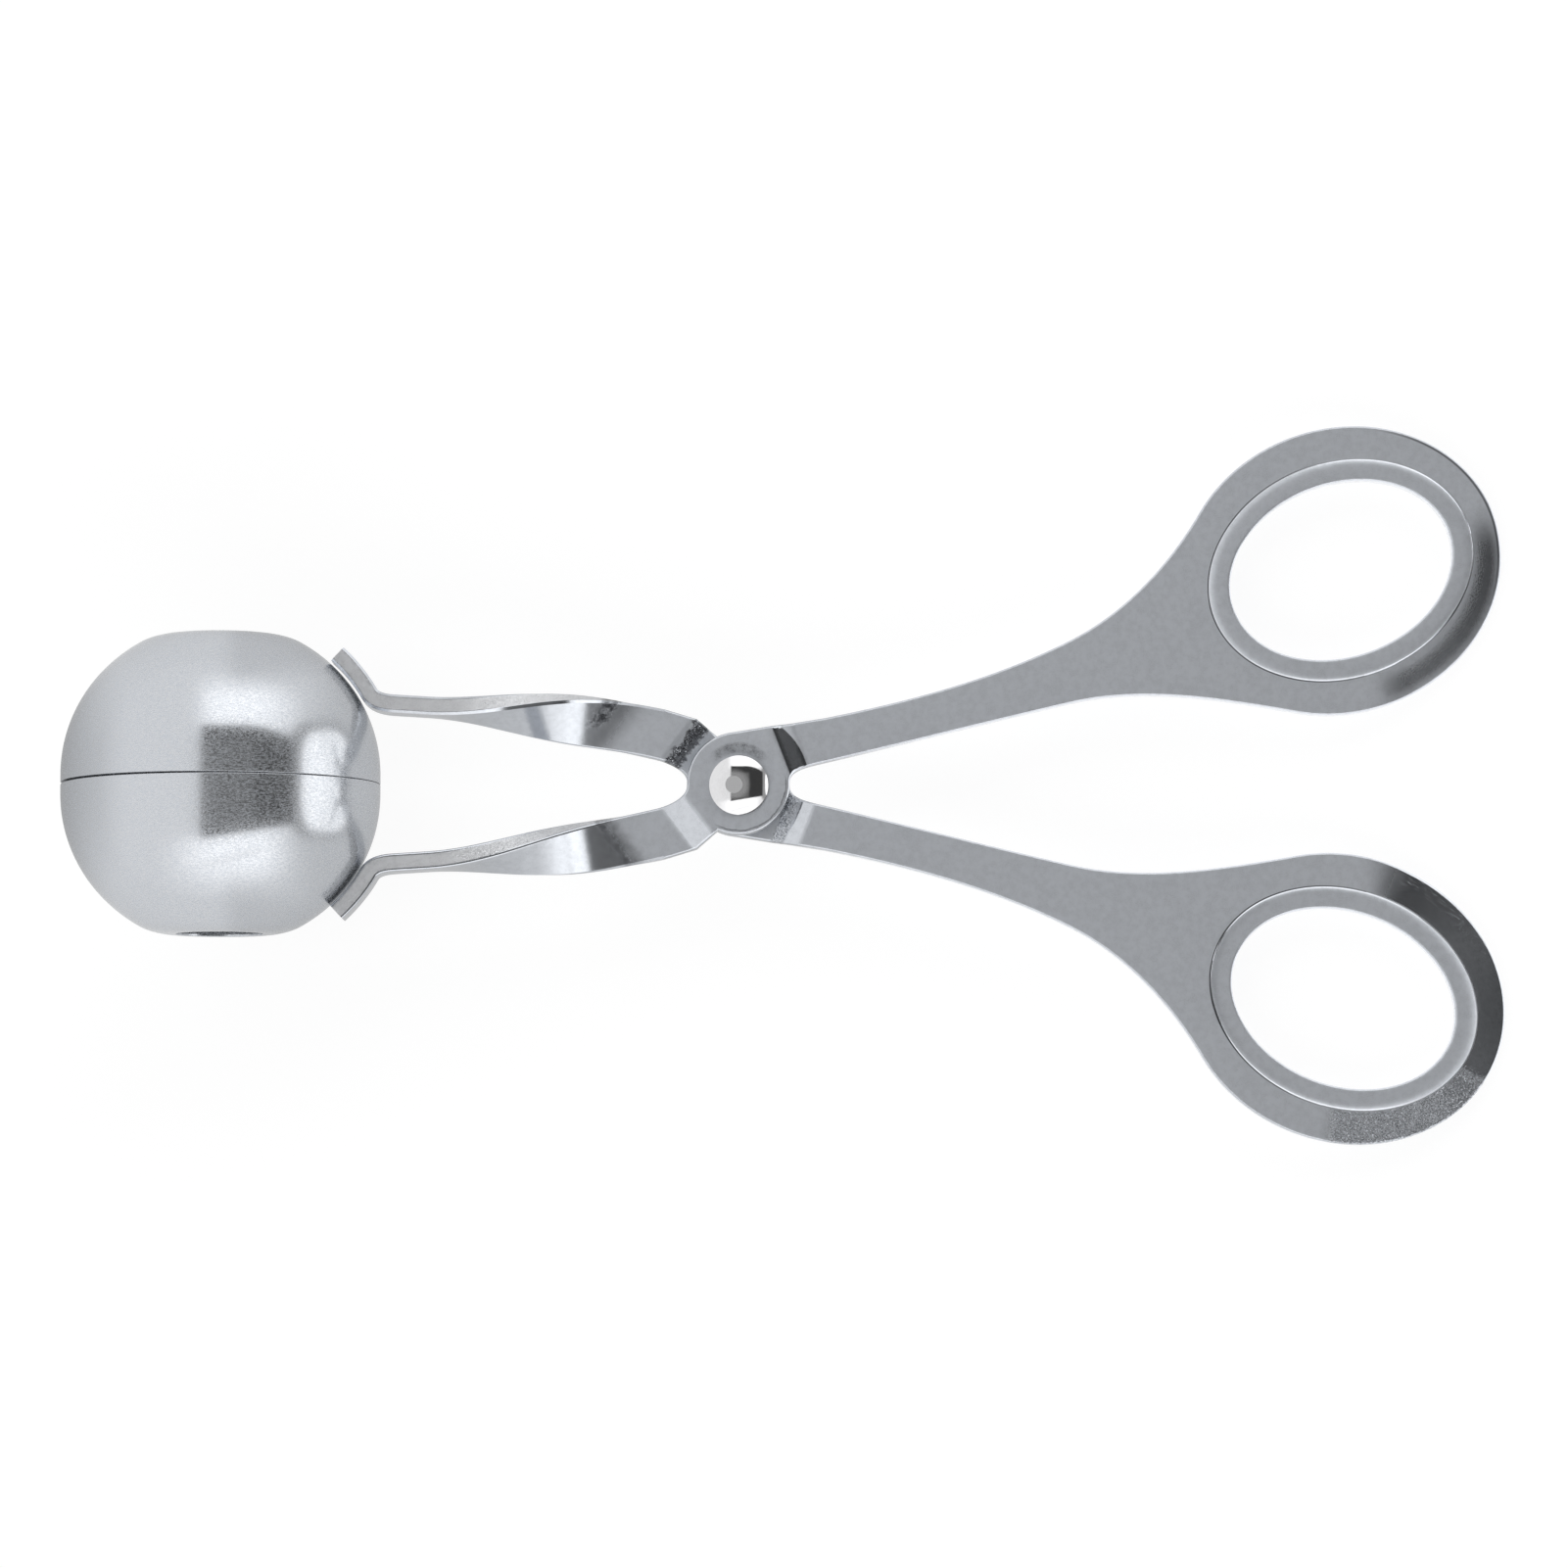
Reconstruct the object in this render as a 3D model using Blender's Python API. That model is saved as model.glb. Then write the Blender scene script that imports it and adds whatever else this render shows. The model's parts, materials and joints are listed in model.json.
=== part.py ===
"""Meatball scoop: two half-ball cups on riveted scissor arms, lying on a table.

Every piece is drawn in the tool's own frame: the pivot is the origin, its pin
runs along Z, the cups lie toward -X and the finger rings toward +X. The empty
named tool_frame then lays the closed tool down on its cup rims and rings.
"""
import math

import bmesh
import bpy
from mathutils import Matrix, Vector
from mathutils.geometry import interpolate_bezier

# Driving dimensions in metres, angles in degrees
MM = 0.001
TOUCH_GAP = 0.3 * MM

SHEET = 2.5 * MM

DISC_RADIUS = 7.1 * MM
RIVET_SHANK_RADIUS = 2.4 * MM
RIVET_HEAD_OVERHANG = 1.55 * MM
RIVET_HEAD_RIM = 0.4 * MM
RIVET_HEAD_RISE = 1.1 * MM

CUP_FROM_PIVOT = 71.7 * MM
CUP_RADIUS = 22.1 * MM
CUP_SKIRT = 1.2 * MM
CUP_DOME_RISE = 21.2 * MM
CUP_WALL = 0.8 * MM
VENT_RADIUS = 6.05 * MM
LAND_WIDTH = 2.85 * MM

# The strip leaves the disc along its heading; reaches are measured from the
# disc's edge and sides to the left of the heading
STRIP_HEADING = 217.0
STRIP_RAMP = 2.65 * MM
STRIP_HEEL_ANGLE = 247.0
STRIP_HEEL_REACH = 2.9 * MM
STRIP_HEEL_SIDE = 3.73 * MM
STRIP_STUB_REACH = 5.87 * MM
STRIP_STUB_SIDE = -1.07 * MM
STRIP_STUB_HEADING = 192.5
STRIP_STUB_WIDTH = 7.0 * MM
STRIP_CROTCH_ANGLE = 182.0

# The strip's far end: a level stretch, a bend and the tab along the cup's dome
STRIP_WIDTH = 6.4 * MM
STRIP_TWIST = 90.0
STRIP_LEVEL_RUN = 4.5 * MM
STRIP_LEVEL_HEADING = 183.5
TAB_BEND_RUN = 3.53 * MM
TAB_BEND_DROP = 1.4 * MM
TAB_LOW_ANGLE = 29.0
TAB_HIGH_ANGLE = 46.5

RING_CENTRE = (83.5 * MM, 29.7 * MM)
RING_TILT = 20.7
RING_HOLE = (15.8 * MM, 11.95 * MM)
RING_END_WIDTH = 6.9 * MM
RING_SIDE_WIDTH = 7.85 * MM
DISH_WIDTH = 3.05 * MM
DISH_RISE = 0.5 * MM

# The shank leaves the disc along its heading; its two edges run from places on
# the disc, past a knot near it and a knot at the web, to places on the ring
SHANK_HEADING = 21.0
SHANK_RAMP = 2.6 * MM
CROTCH_ANGLE = 2.0
CROTCH_KNOT_REACH = 3.5 * MM
CROTCH_KNOT_RISE = 2.7 * MM
CROTCH_KNOT_HEADING = 13.0
INNER_WEB_KNOT = (46.0 * MM, 11.2 * MM)
INNER_WEB_HEADING = 13.0
INNER_JOIN_ANGLE = -124.0
OUTER_JOIN_ANGLE = 133.0
OUTER_WEB_KNOT = (46.0 * MM, 20.0 * MM)
OUTER_WEB_HEADING = 207.0
SHOULDER_KNOT_REACH = 4.9 * MM
SHOULDER_KNOT_RISE = 2.05 * MM
SHOULDER_HEADING = 191.5
DISC_TOP_ANGLE = 101.0

# Fineness of the curves
RING_STEPS = 44
DISC_STEPS = 10
FLANK_STEPS = 9
CROTCH_STEPS = 4
TWIST_STEPS = 16
BEND_STEPS = 5
TAB_STEPS = 5
CUP_SEGMENTS = 48
DOME_STEPS = 11
RIVET_SEGMENTS = 32
HEAD_STEPS = 5

# Sizes that follow from the driving dimensions
DISC_LIFT = (SHEET + TOUCH_GAP) / 2.0
RIVET_HOLE_RADIUS = RIVET_SHANK_RADIUS + TOUCH_GAP
RIVET_HEAD_RADIUS = RIVET_SHANK_RADIUS + RIVET_HEAD_OVERHANG
RING_OUTER = (RING_HOLE[0] + RING_END_WIDTH, RING_HOLE[1] + RING_SIDE_WIDTH)
RING_DISH = (RING_HOLE[0] + DISH_WIDTH, RING_HOLE[1] + DISH_WIDTH)
LAND_RADIUS = VENT_RADIUS + LAND_WIDTH
CUP_HEIGHT = CUP_SKIRT + CUP_DOME_RISE * math.sqrt(1.0 - (LAND_RADIUS / CUP_RADIUS) ** 2)


def heading_vector(degrees):
    angle = math.radians(degrees)
    return Vector((math.cos(angle), math.sin(angle)))


def circle_point(radius, degrees):
    return heading_vector(degrees) * radius


def circle_arc(radius, start, end, steps):
    """Points on a circle round the pivot, both ends included."""
    return [circle_point(radius, start + (end - start) * i / steps) for i in range(steps + 1)]


def ring_point(semi_axes, degrees):
    """A point of a tilted ellipse round the finger hole."""
    place = heading_vector(degrees)
    flat = Vector((place.x * semi_axes[0], place.y * semi_axes[1]))
    flat.rotate(Matrix.Rotation(math.radians(RING_TILT), 2))
    return Vector(RING_CENTRE) + flat


def ring_heading(degrees):
    """The way the outer ellipse runs at a place on it, counter-clockwise."""
    step = 0.01
    ahead = ring_point(RING_OUTER, degrees + step) - ring_point(RING_OUTER, degrees - step)
    return math.degrees(math.atan2(ahead.y, ahead.x))


def ring_loop(semi_axes):
    return [ring_point(semi_axes, 360.0 * i / RING_STEPS) for i in range(RING_STEPS)]


def curve_between(start, start_heading, end, end_heading, steps):
    """A cubic curve with a third of the chord in each handle, ends included."""
    start = Vector(start)
    end = Vector(end)
    reach = (end - start).length / 3.0
    first = start + heading_vector(start_heading) * reach
    second = end - heading_vector(end_heading) * reach
    points = interpolate_bezier(start, first, second, end, steps + 1)
    return [point.to_2d() for point in points]


def join_stretches(stretches):
    """One closed outline, with each shared end point kept once."""
    outline = []
    for stretch in stretches:
        outline.extend(stretch[:-1])
    return outline


def strip_place(reach, side):
    """A point of the blank at a reach past the disc's edge, to one side of the strip's heading."""
    ahead = heading_vector(STRIP_HEADING) * (DISC_RADIUS + reach)
    return ahead + heading_vector(STRIP_HEADING + 90.0) * side


def shank_inner_edge(ring_start):
    """The shank's edge toward the tool's middle, from the disc out to the ring."""
    crotch = circle_point(DISC_RADIUS, CROTCH_ANGLE)
    knot = (DISC_RADIUS + CROTCH_KNOT_REACH, CROTCH_KNOT_RISE)
    return [
        curve_between(crotch, CROTCH_ANGLE + 90.0, knot, CROTCH_KNOT_HEADING, CROTCH_STEPS),
        curve_between(knot, CROTCH_KNOT_HEADING, INNER_WEB_KNOT, INNER_WEB_HEADING, CROTCH_STEPS),
        curve_between(INNER_WEB_KNOT, INNER_WEB_HEADING,
                      ring_start, ring_heading(INNER_JOIN_ANGLE), FLANK_STEPS),
    ]


def shank_outer_edge(ring_end):
    """The shank's outer edge, from the ring back to the disc."""
    knot = (DISC_RADIUS + SHOULDER_KNOT_REACH, DISC_RADIUS + SHOULDER_KNOT_RISE)
    return [
        curve_between(ring_end, ring_heading(OUTER_JOIN_ANGLE),
                      OUTER_WEB_KNOT, OUTER_WEB_HEADING, FLANK_STEPS),
        curve_between(OUTER_WEB_KNOT, OUTER_WEB_HEADING, knot, SHOULDER_HEADING, FLANK_STEPS),
        [Vector(knot), circle_point(DISC_RADIUS, DISC_TOP_ANGLE)],
    ]


def arm_outline():
    """The front arm's flat blank from above, counter-clockwise."""
    stub = strip_place(STRIP_STUB_REACH, STRIP_STUB_SIDE)
    across = heading_vector(STRIP_STUB_HEADING + 90.0) * STRIP_STUB_WIDTH / 2.0
    heel = strip_place(STRIP_HEEL_REACH, STRIP_HEEL_SIDE)
    strip_crotch = circle_point(DISC_RADIUS, STRIP_CROTCH_ANGLE)
    ring_sweep = OUTER_JOIN_ANGLE - INNER_JOIN_ANGLE
    ring_arc = [
        ring_point(RING_OUTER, INNER_JOIN_ANGLE + ring_sweep * i / RING_STEPS)
        for i in range(RING_STEPS + 1)
    ]
    return join_stretches([
        [stub - across, stub + across],
        [stub + across, heel],
        [heel, circle_point(DISC_RADIUS, STRIP_HEEL_ANGLE)],
        circle_arc(DISC_RADIUS, STRIP_HEEL_ANGLE - 360.0, CROTCH_ANGLE, 2 * DISC_STEPS),
        *shank_inner_edge(ring_arc[0]),
        ring_arc,
        *shank_outer_edge(ring_arc[-1]),
        circle_arc(DISC_RADIUS, DISC_TOP_ANGLE, STRIP_CROTCH_ANGLE, DISC_STEPS),
        curve_between(strip_crotch, STRIP_CROTCH_ANGLE + 90.0,
                      stub - across, STRIP_STUB_HEADING, CROTCH_STEPS),
    ])


def add_loop(bm, points):
    """Vertices and edges of a closed flat loop at height zero."""
    verts = [bm.verts.new((point.x, point.y, 0.0)) for point in points]
    edges = [bm.edges.new((verts[i - 1], verts[i])) for i in range(len(verts))]
    return verts, edges


def disc_share(point):
    """How much of the disc's lift a point of the blank has: 1 on the disc, 0 past a ramp."""
    along_strip = point.dot(heading_vector(STRIP_HEADING))
    along_shank = point.dot(heading_vector(SHANK_HEADING))
    strip_part = (along_strip - DISC_RADIUS) / STRIP_RAMP
    shank_part = (along_shank - DISC_RADIUS) / SHANK_RAMP
    return 1.0 - min(1.0, max(0.0, strip_part, shank_part))


def crease(bm, heading, distance):
    """Cut the plate across its run, where a ramp starts or ends."""
    normal = heading_vector(heading).to_3d()
    geometry = bm.verts[:] + bm.edges[:] + bm.faces[:]
    bmesh.ops.bisect_plane(bm, geom=geometry, dist=1e-7, plane_co=normal * distance, plane_no=normal)


def dome_offset_point(degrees, distance):
    """A point off the lower cup's dome, with the dome's outward normal there."""
    place = heading_vector(degrees)
    on_dome = Vector((CUP_RADIUS * place.x, -CUP_SKIRT - CUP_DOME_RISE * place.y))
    outward = Vector((place.x / CUP_RADIUS, -place.y / CUP_DOME_RISE)).normalized()
    on_dome.x -= CUP_FROM_PIVOT
    on_dome.y -= TOUCH_GAP / 2.0
    return on_dome + outward * distance, outward


def strip_centreline():
    """Centre points of the strip from its stub to the end of its welded tab."""
    off_cup = TOUCH_GAP + SHEET / 2.0
    tab = []
    for i in range(TAB_STEPS + 1):
        angle = TAB_LOW_ANGLE + (TAB_HIGH_ANGLE - TAB_LOW_ANGLE) * i / TAB_STEPS
        tab.append(dome_offset_point(angle, off_cup)[0])
    tab_outward = dome_offset_point(TAB_LOW_ANGLE, off_cup)[1]
    tab_heading = math.degrees(math.atan2(-tab_outward.x, tab_outward.y))
    bend_start = tab[0] + Vector((TAB_BEND_RUN, TAB_BEND_DROP))
    stub = strip_place(STRIP_STUB_REACH, STRIP_STUB_SIDE)
    run = curve_between(stub, STRIP_STUB_HEADING, bend_start, STRIP_LEVEL_HEADING, TWIST_STEPS)
    bend = curve_between(bend_start, STRIP_LEVEL_HEADING, tab[0], tab_heading % 360.0, BEND_STEPS)
    return run[:-1] + bend[:-1] + tab


def strip_section(points, index):
    """Frame of the strip's section at a centre point: its width, its thickness, its run."""
    before = points[max(index - 1, 0)]
    after = points[min(index + 1, len(points) - 1)]
    run = (after - before).to_3d().normalized()
    if index == 0:
        run = heading_vector(STRIP_STUB_HEADING).to_3d()
    twist_end = points[TWIST_STEPS].x + STRIP_LEVEL_RUN
    share = (points[index].x - points[0].x) / (twist_end - points[0].x)
    share = min(1.0, max(0.0, share))
    turn = Matrix.Rotation(-math.radians(STRIP_TWIST) * share * share * (3.0 - 2.0 * share), 4, run)
    thickness = turn @ Vector((0.0, 0.0, 1.0))
    taper = STRIP_STUB_WIDTH + (STRIP_WIDTH - STRIP_STUB_WIDTH) * share
    width = thickness.cross(run) * taper
    frame = Matrix((width, thickness, run)).transposed().to_4x4()
    frame.translation = points[index].to_3d()
    return frame


def end_face(bm, place, heading):
    """The plate's face that closes its stub."""
    outward = heading_vector(heading).to_3d()
    facing = [face for face in bm.faces if face.normal.dot(outward) > 0.999]
    return min(facing, key=lambda face: (face.calc_center_median() - place).length)


def draw_strip(bm):
    """Run the stub on as a twisted strip and bend its end along the cup."""
    points = strip_centreline()
    face = end_face(bm, points[0].to_3d(), STRIP_STUB_HEADING)
    frame = strip_section(points, 0)
    for index in range(1, len(points)):
        grown = bmesh.ops.extrude_face_region(bm, geom=[face])["geom"]
        verts = [item for item in grown if isinstance(item, bmesh.types.BMVert)]
        bmesh.ops.delete(bm, geom=[face], context="FACES_ONLY")
        following = strip_section(points, index)
        bmesh.ops.transform(bm, matrix=following @ frame.inverted(), verts=verts)
        face = next(item for item in grown if isinstance(item, bmesh.types.BMFace))
        frame = following


def arm_mesh():
    """The front arm: a stamped blank with a raised disc, a dished ring and a twisted strip."""
    bm = bmesh.new()
    rivet_hole = circle_arc(RIVET_HOLE_RADIUS, 0.0, 360.0, RIVET_SEGMENTS)[:-1]
    outline_edges = add_loop(bm, arm_outline())[1] + add_loop(bm, rivet_hole)[1]
    dish_edges = add_loop(bm, ring_loop(RING_DISH))[1]
    hole_verts, hole_edges = add_loop(bm, ring_loop(RING_HOLE))
    up = Vector((0.0, 0.0, 1.0))
    bmesh.ops.triangle_fill(bm, use_beauty=True, edges=outline_edges + dish_edges, normal=up)
    bmesh.ops.triangle_fill(bm, use_beauty=True, edges=dish_edges + hole_edges, normal=up)
    for vert in hole_verts:
        vert.co.z += DISH_RISE
    under = bm.verts[:]
    grown = bmesh.ops.extrude_face_region(bm, geom=bm.faces[:])["geom"]
    over = [item for item in grown if isinstance(item, bmesh.types.BMVert)]
    bmesh.ops.translate(bm, vec=(0.0, 0.0, SHEET / 2.0), verts=over)
    bmesh.ops.translate(bm, vec=(0.0, 0.0, -SHEET / 2.0), verts=under)
    for heading, ramp in ((STRIP_HEADING, STRIP_RAMP), (SHANK_HEADING, SHANK_RAMP)):
        crease(bm, heading, DISC_RADIUS)
        crease(bm, heading, DISC_RADIUS + ramp)
    for vert in bm.verts:
        vert.co.z += DISC_LIFT * disc_share(vert.co.to_2d())
    bmesh.ops.recalc_face_normals(bm, faces=bm.faces[:])
    bm.normal_update()
    draw_strip(bm)
    bmesh.ops.recalc_face_normals(bm, faces=bm.faces[:])
    return finish_mesh(bm, "stamped_arm")


def turned_mesh(name, profile, axis, segments):
    """A closed profile of (distance from the axis, height) turned once round the axis."""
    bm = bmesh.new()
    along = Vector(axis)
    away = Vector((1.0, 0.0, 0.0))
    verts = [bm.verts.new(away * radius + along * height) for radius, height in profile]
    edges = [bm.edges.new((verts[i - 1], verts[i])) for i in range(len(verts))]
    bmesh.ops.spin(bm, geom=verts + edges, axis=along, cent=(0.0, 0.0, 0.0),
                   angle=math.tau, steps=segments, use_merge=True)
    bmesh.ops.remove_doubles(bm, verts=bm.verts[:], dist=1e-7)
    bmesh.ops.dissolve_degenerate(bm, edges=bm.edges[:], dist=1e-7)
    bmesh.ops.recalc_face_normals(bm, faces=bm.faces[:])
    return finish_mesh(bm, name)


def finish_mesh(bm, name):
    mesh = bpy.data.meshes.new(name)
    bm.to_mesh(mesh)
    bm.free()
    mesh.shade_smooth()
    mesh.set_sharp_from_angle(angle=math.radians(30.0))
    return mesh


def dome_profile(inset):
    """Rim to land of one face of the cup's wall, as (radius, depth)."""
    rise = CUP_DOME_RISE - inset
    radius = CUP_RADIUS - inset
    land_depth = CUP_HEIGHT - inset
    land_angle = math.degrees(math.asin((land_depth - CUP_SKIRT) / rise))
    profile = [(radius, 0.0)]
    for i in range(DOME_STEPS + 1):
        place = heading_vector(land_angle * i / DOME_STEPS)
        profile.append((radius * place.x, CUP_SKIRT + rise * place.y))
    profile.append((VENT_RADIUS, land_depth))
    return profile


def cup_mesh():
    """A half-ball cup, its rim on y = 0 and its vented land toward -Y."""
    profile = dome_profile(0.0) + list(reversed(dome_profile(CUP_WALL)))
    return turned_mesh("half_ball_cup", profile, (0.0, -1.0, 0.0), CUP_SEGMENTS)


def rivet_mesh():
    """The pivot rivet: a shank through both discs with a low dome at each end."""
    seat = SHEET + 1.5 * TOUCH_GAP
    dome = []
    for i in range(HEAD_STEPS + 1):
        place = heading_vector(90.0 * i / HEAD_STEPS)
        height = seat + RIVET_HEAD_RIM + RIVET_HEAD_RISE * place.y
        dome.append((RIVET_HEAD_RADIUS * place.x if i < HEAD_STEPS else 0.0, height))
    upper = [(RIVET_SHANK_RADIUS, seat), (RIVET_HEAD_RADIUS, seat)] + dome
    lower = [(radius, -height) for radius, height in reversed(upper)]
    return turned_mesh("rivet", upper + lower, (0.0, 0.0, 1.0), RIVET_SEGMENTS)


def metal(name, colour, roughness):
    """A bare metal finish."""
    material = bpy.data.materials.new(name)
    material.use_nodes = True
    shader = material.node_tree.nodes["Principled BSDF"]
    shader.inputs["Base Color"].default_value = (*colour, 1.0)
    shader.inputs["Metallic"].default_value = 1.0
    shader.inputs["Roughness"].default_value = roughness
    return material


def add_empty(name, parent, location=(0.0, 0.0, 0.0), rotation=(0.0, 0.0, 0.0)):
    empty = bpy.data.objects.new(name, None)
    bpy.context.scene.collection.objects.link(empty)
    empty.parent = parent
    empty.location = location
    empty.rotation_euler = rotation
    return empty


def add_piece(name, mesh, material, parent, location=(0.0, 0.0, 0.0), turned_over=False):
    """One piece of the tool; turned over means half a turn about X."""
    piece = bpy.data.objects.new(name, mesh)
    bpy.context.scene.collection.objects.link(piece)
    piece.parent = parent
    piece.location = location
    piece.rotation_euler = (math.pi if turned_over else 0.0, 0.0, 0.0)
    if not mesh.materials:
        mesh.materials.append(None)
    piece.material_slots[0].link = "OBJECT"
    piece.material_slots[0].material = material
    return piece


def rest_tilt():
    """Slope of the tool when its cup rims and its rings' far ends touch the table."""
    reach = CUP_FROM_PIVOT + ring_far_end()
    half_sheet = SHEET / 2.0
    return math.asin(CUP_RADIUS / math.hypot(reach, half_sheet)) - math.atan2(half_sheet, reach)


def ring_far_end():
    tilt = math.radians(RING_TILT)
    spread = math.hypot(RING_OUTER[0] * math.cos(tilt), RING_OUTER[1] * math.sin(tilt))
    return RING_CENTRE[0] + spread


def rest_place(tilt):
    """Where the pivot lies when the box round the resting tool is centred on the origin."""
    cup_end = -CUP_FROM_PIVOT * math.cos(tilt) - CUP_RADIUS
    ring_end = ring_far_end() * math.cos(tilt) + SHEET / 2.0 * math.sin(tilt)
    height = CUP_RADIUS - CUP_FROM_PIVOT * math.sin(tilt)
    return (-(cup_end + ring_end) / 2.0, 0.0, height)


def clear_scene():
    for item in list(bpy.data.objects):
        bpy.data.objects.remove(item, do_unlink=True)


def main():
    clear_scene()
    tilt = rest_tilt()
    tool_frame = add_empty("tool_frame", None, rest_place(tilt), (0.0, tilt, 0.0))
    front_half = add_empty("front_half", tool_frame)

    arm = arm_mesh()
    add_piece("front_arm", arm, metal("front_arm_plated", (0.55, 0.56, 0.58), 0.22), front_half)
    add_piece("back_arm", arm, metal("back_arm_plated", (0.53, 0.54, 0.56), 0.24), tool_frame,
              turned_over=True)

    cup = cup_mesh()
    half_gap = TOUCH_GAP / 2.0
    add_piece("lower_cup", cup, metal("lower_cup_satin", (0.66, 0.67, 0.68), 0.32), front_half,
              (-CUP_FROM_PIVOT, -half_gap, 0.0))
    add_piece("upper_cup", cup, metal("upper_cup_satin", (0.64, 0.65, 0.66), 0.32), tool_frame,
              (-CUP_FROM_PIVOT, half_gap, 0.0), turned_over=True)

    add_piece("pivot_rivet", rivet_mesh(), metal("rivet_polished", (0.78, 0.78, 0.78), 0.08),
              tool_frame)
    bpy.context.view_layer.update()


main()
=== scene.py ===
import json
import math

import bmesh
import bpy
from mathutils import Matrix, Vector
from mathutils.geometry import interpolate_bezier

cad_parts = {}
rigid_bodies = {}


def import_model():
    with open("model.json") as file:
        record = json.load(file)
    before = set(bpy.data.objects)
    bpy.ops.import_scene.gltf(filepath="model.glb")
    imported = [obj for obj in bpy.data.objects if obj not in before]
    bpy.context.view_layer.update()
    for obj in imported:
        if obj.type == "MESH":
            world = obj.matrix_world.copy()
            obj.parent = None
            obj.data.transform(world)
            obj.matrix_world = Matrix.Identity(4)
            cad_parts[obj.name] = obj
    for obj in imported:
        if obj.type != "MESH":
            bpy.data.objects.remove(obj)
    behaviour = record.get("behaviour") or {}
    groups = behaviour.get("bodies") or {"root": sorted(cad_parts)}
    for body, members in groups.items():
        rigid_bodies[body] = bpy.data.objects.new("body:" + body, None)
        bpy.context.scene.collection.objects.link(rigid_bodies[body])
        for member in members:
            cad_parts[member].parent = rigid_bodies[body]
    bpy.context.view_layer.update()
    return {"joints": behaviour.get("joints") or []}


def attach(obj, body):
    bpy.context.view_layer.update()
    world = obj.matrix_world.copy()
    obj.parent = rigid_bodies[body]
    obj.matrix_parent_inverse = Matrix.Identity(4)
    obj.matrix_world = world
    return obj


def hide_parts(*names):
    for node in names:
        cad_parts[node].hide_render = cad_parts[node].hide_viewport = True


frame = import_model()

MM = 0.001

# The tool's own frame: the pivot is its origin, the pin its Z, the rings lie toward its +X
hinge = frame["joints"][0]
PIN = Vector(hinge["axis"]).normalized()
TOOL_Y = Vector((0.0, 1.0, 0.0))
TOOL_X = TOOL_Y.cross(PIN).normalized()
TOOL_FRAME = Matrix((TOOL_X, TOOL_Y, PIN)).transposed().to_4x4()
TOOL_FRAME.translation = Vector(hinge["pos_m"])
HALF_TURN = Matrix.Rotation(math.pi, 4, "X")

# Camera: straight down the pin, leaning a little toward the lower ring
SENSOR_WIDTH = 36.0
CAMERA_DISTANCE = 1.0
CAMERA_LEAN = 4.55
VIEW_WIDTH = 0.2171
VIEW_CENTRE = (6.3 * MM, 0.07 * MM)

# Sheet and pivot, as in the CAD source
TOUCH_GAP = 0.3 * MM
SHEET = 2.5 * MM
DISC_RADIUS = 7.1 * MM
RIVET_HOLE_RADIUS = 2.7 * MM
DISC_LIFT = (SHEET + TOUCH_GAP) / 2.0

# Rivet
RIVET_SHANK_RADIUS = 2.4 * MM
RIVET_HEAD_RADIUS = 4.08 * MM
RIVET_HEAD_RISE = 1.17 * MM
RIVET_HEAD_RIM = 0.4 * MM
RIVET_FLAT_RADIUS = 1.2 * MM
RIVET_HEAD_SHIFT = (0.05 * MM, -0.35 * MM)
RIVET_FLAT_PLACE = (-0.6 * MM, -0.35 * MM)
CROWN_LEAN = (0.07, -0.098)

# Cups
CUP_FROM_PIVOT = 71.7 * MM
CUP_RADIUS = 22.1 * MM
CUP_SKIRT = 1.2 * MM
CUP_DOME_RISE = 21.2 * MM
CUP_WALL = 0.8 * MM
VENT_RADIUS = 6.05 * MM
LAND_WIDTH = 2.85 * MM
LAND_CORNER = 2.0 * MM
CUP_RIM_ROUND = 0.1 * MM
SEAM_NEAR_GAP = 0.06 * MM

# Strip: reaches are past the disc's edge along its heading, sides to the left of the heading
STRIP_HEADING = 217.0
STRIP_RAMP = 3.3 * MM
STRIP_HEEL_ANGLE = 247.0
STRIP_HEEL = (2.9 * MM, 3.73 * MM)
STRIP_STUB = (5.87 * MM, -1.07 * MM)
STRIP_STUB_HEADING = 192.5
STRIP_STUB_WIDTH = 7.0 * MM
STRIP_CROTCH_ANGLE = 182.0
STRIP_WIDTH = 6.4 * MM
STRIP_TWIST = 90.0
STRIP_LEVEL_RUN = 4.5 * MM
STRIP_LEVEL_HEADING = 183.5
TAB_BEND = (3.53 * MM, 1.4 * MM)
TAB_LOW_ANGLE = 29.0
TAB_HIGH_ANGLE = 46.5

# Finger ring and its pressed band round the hole
RING_CENTRE = (83.5 * MM, 29.7 * MM)
RING_TILT = 20.7
RING_HOLE = (15.8 * MM, 11.95 * MM)
RING_OUTER = (22.68 * MM, 19.78 * MM)
BAND_WIDTH = 3.05 * MM
BAND_RISE = 0.3 * MM
BAND_SHOULDER = 0.35 * MM
BAND_LOOPS = [inward * MM for inward in (0.0, 0.08, 0.2, 0.35, 0.55, 0.8, 1.1, 1.5, 2.0, 2.5)]

# Grinding at the rings' far ends: its middle and half its sweep in degrees, its start past the
# hairline and its slope
FRONT_WEAR = (-25.5, 42.0, 0.6 * MM, 0.25)
BACK_WEAR = (-16.0, 55.0, 0.0, 0.19)
WEAR_FADE = 10.0

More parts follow.
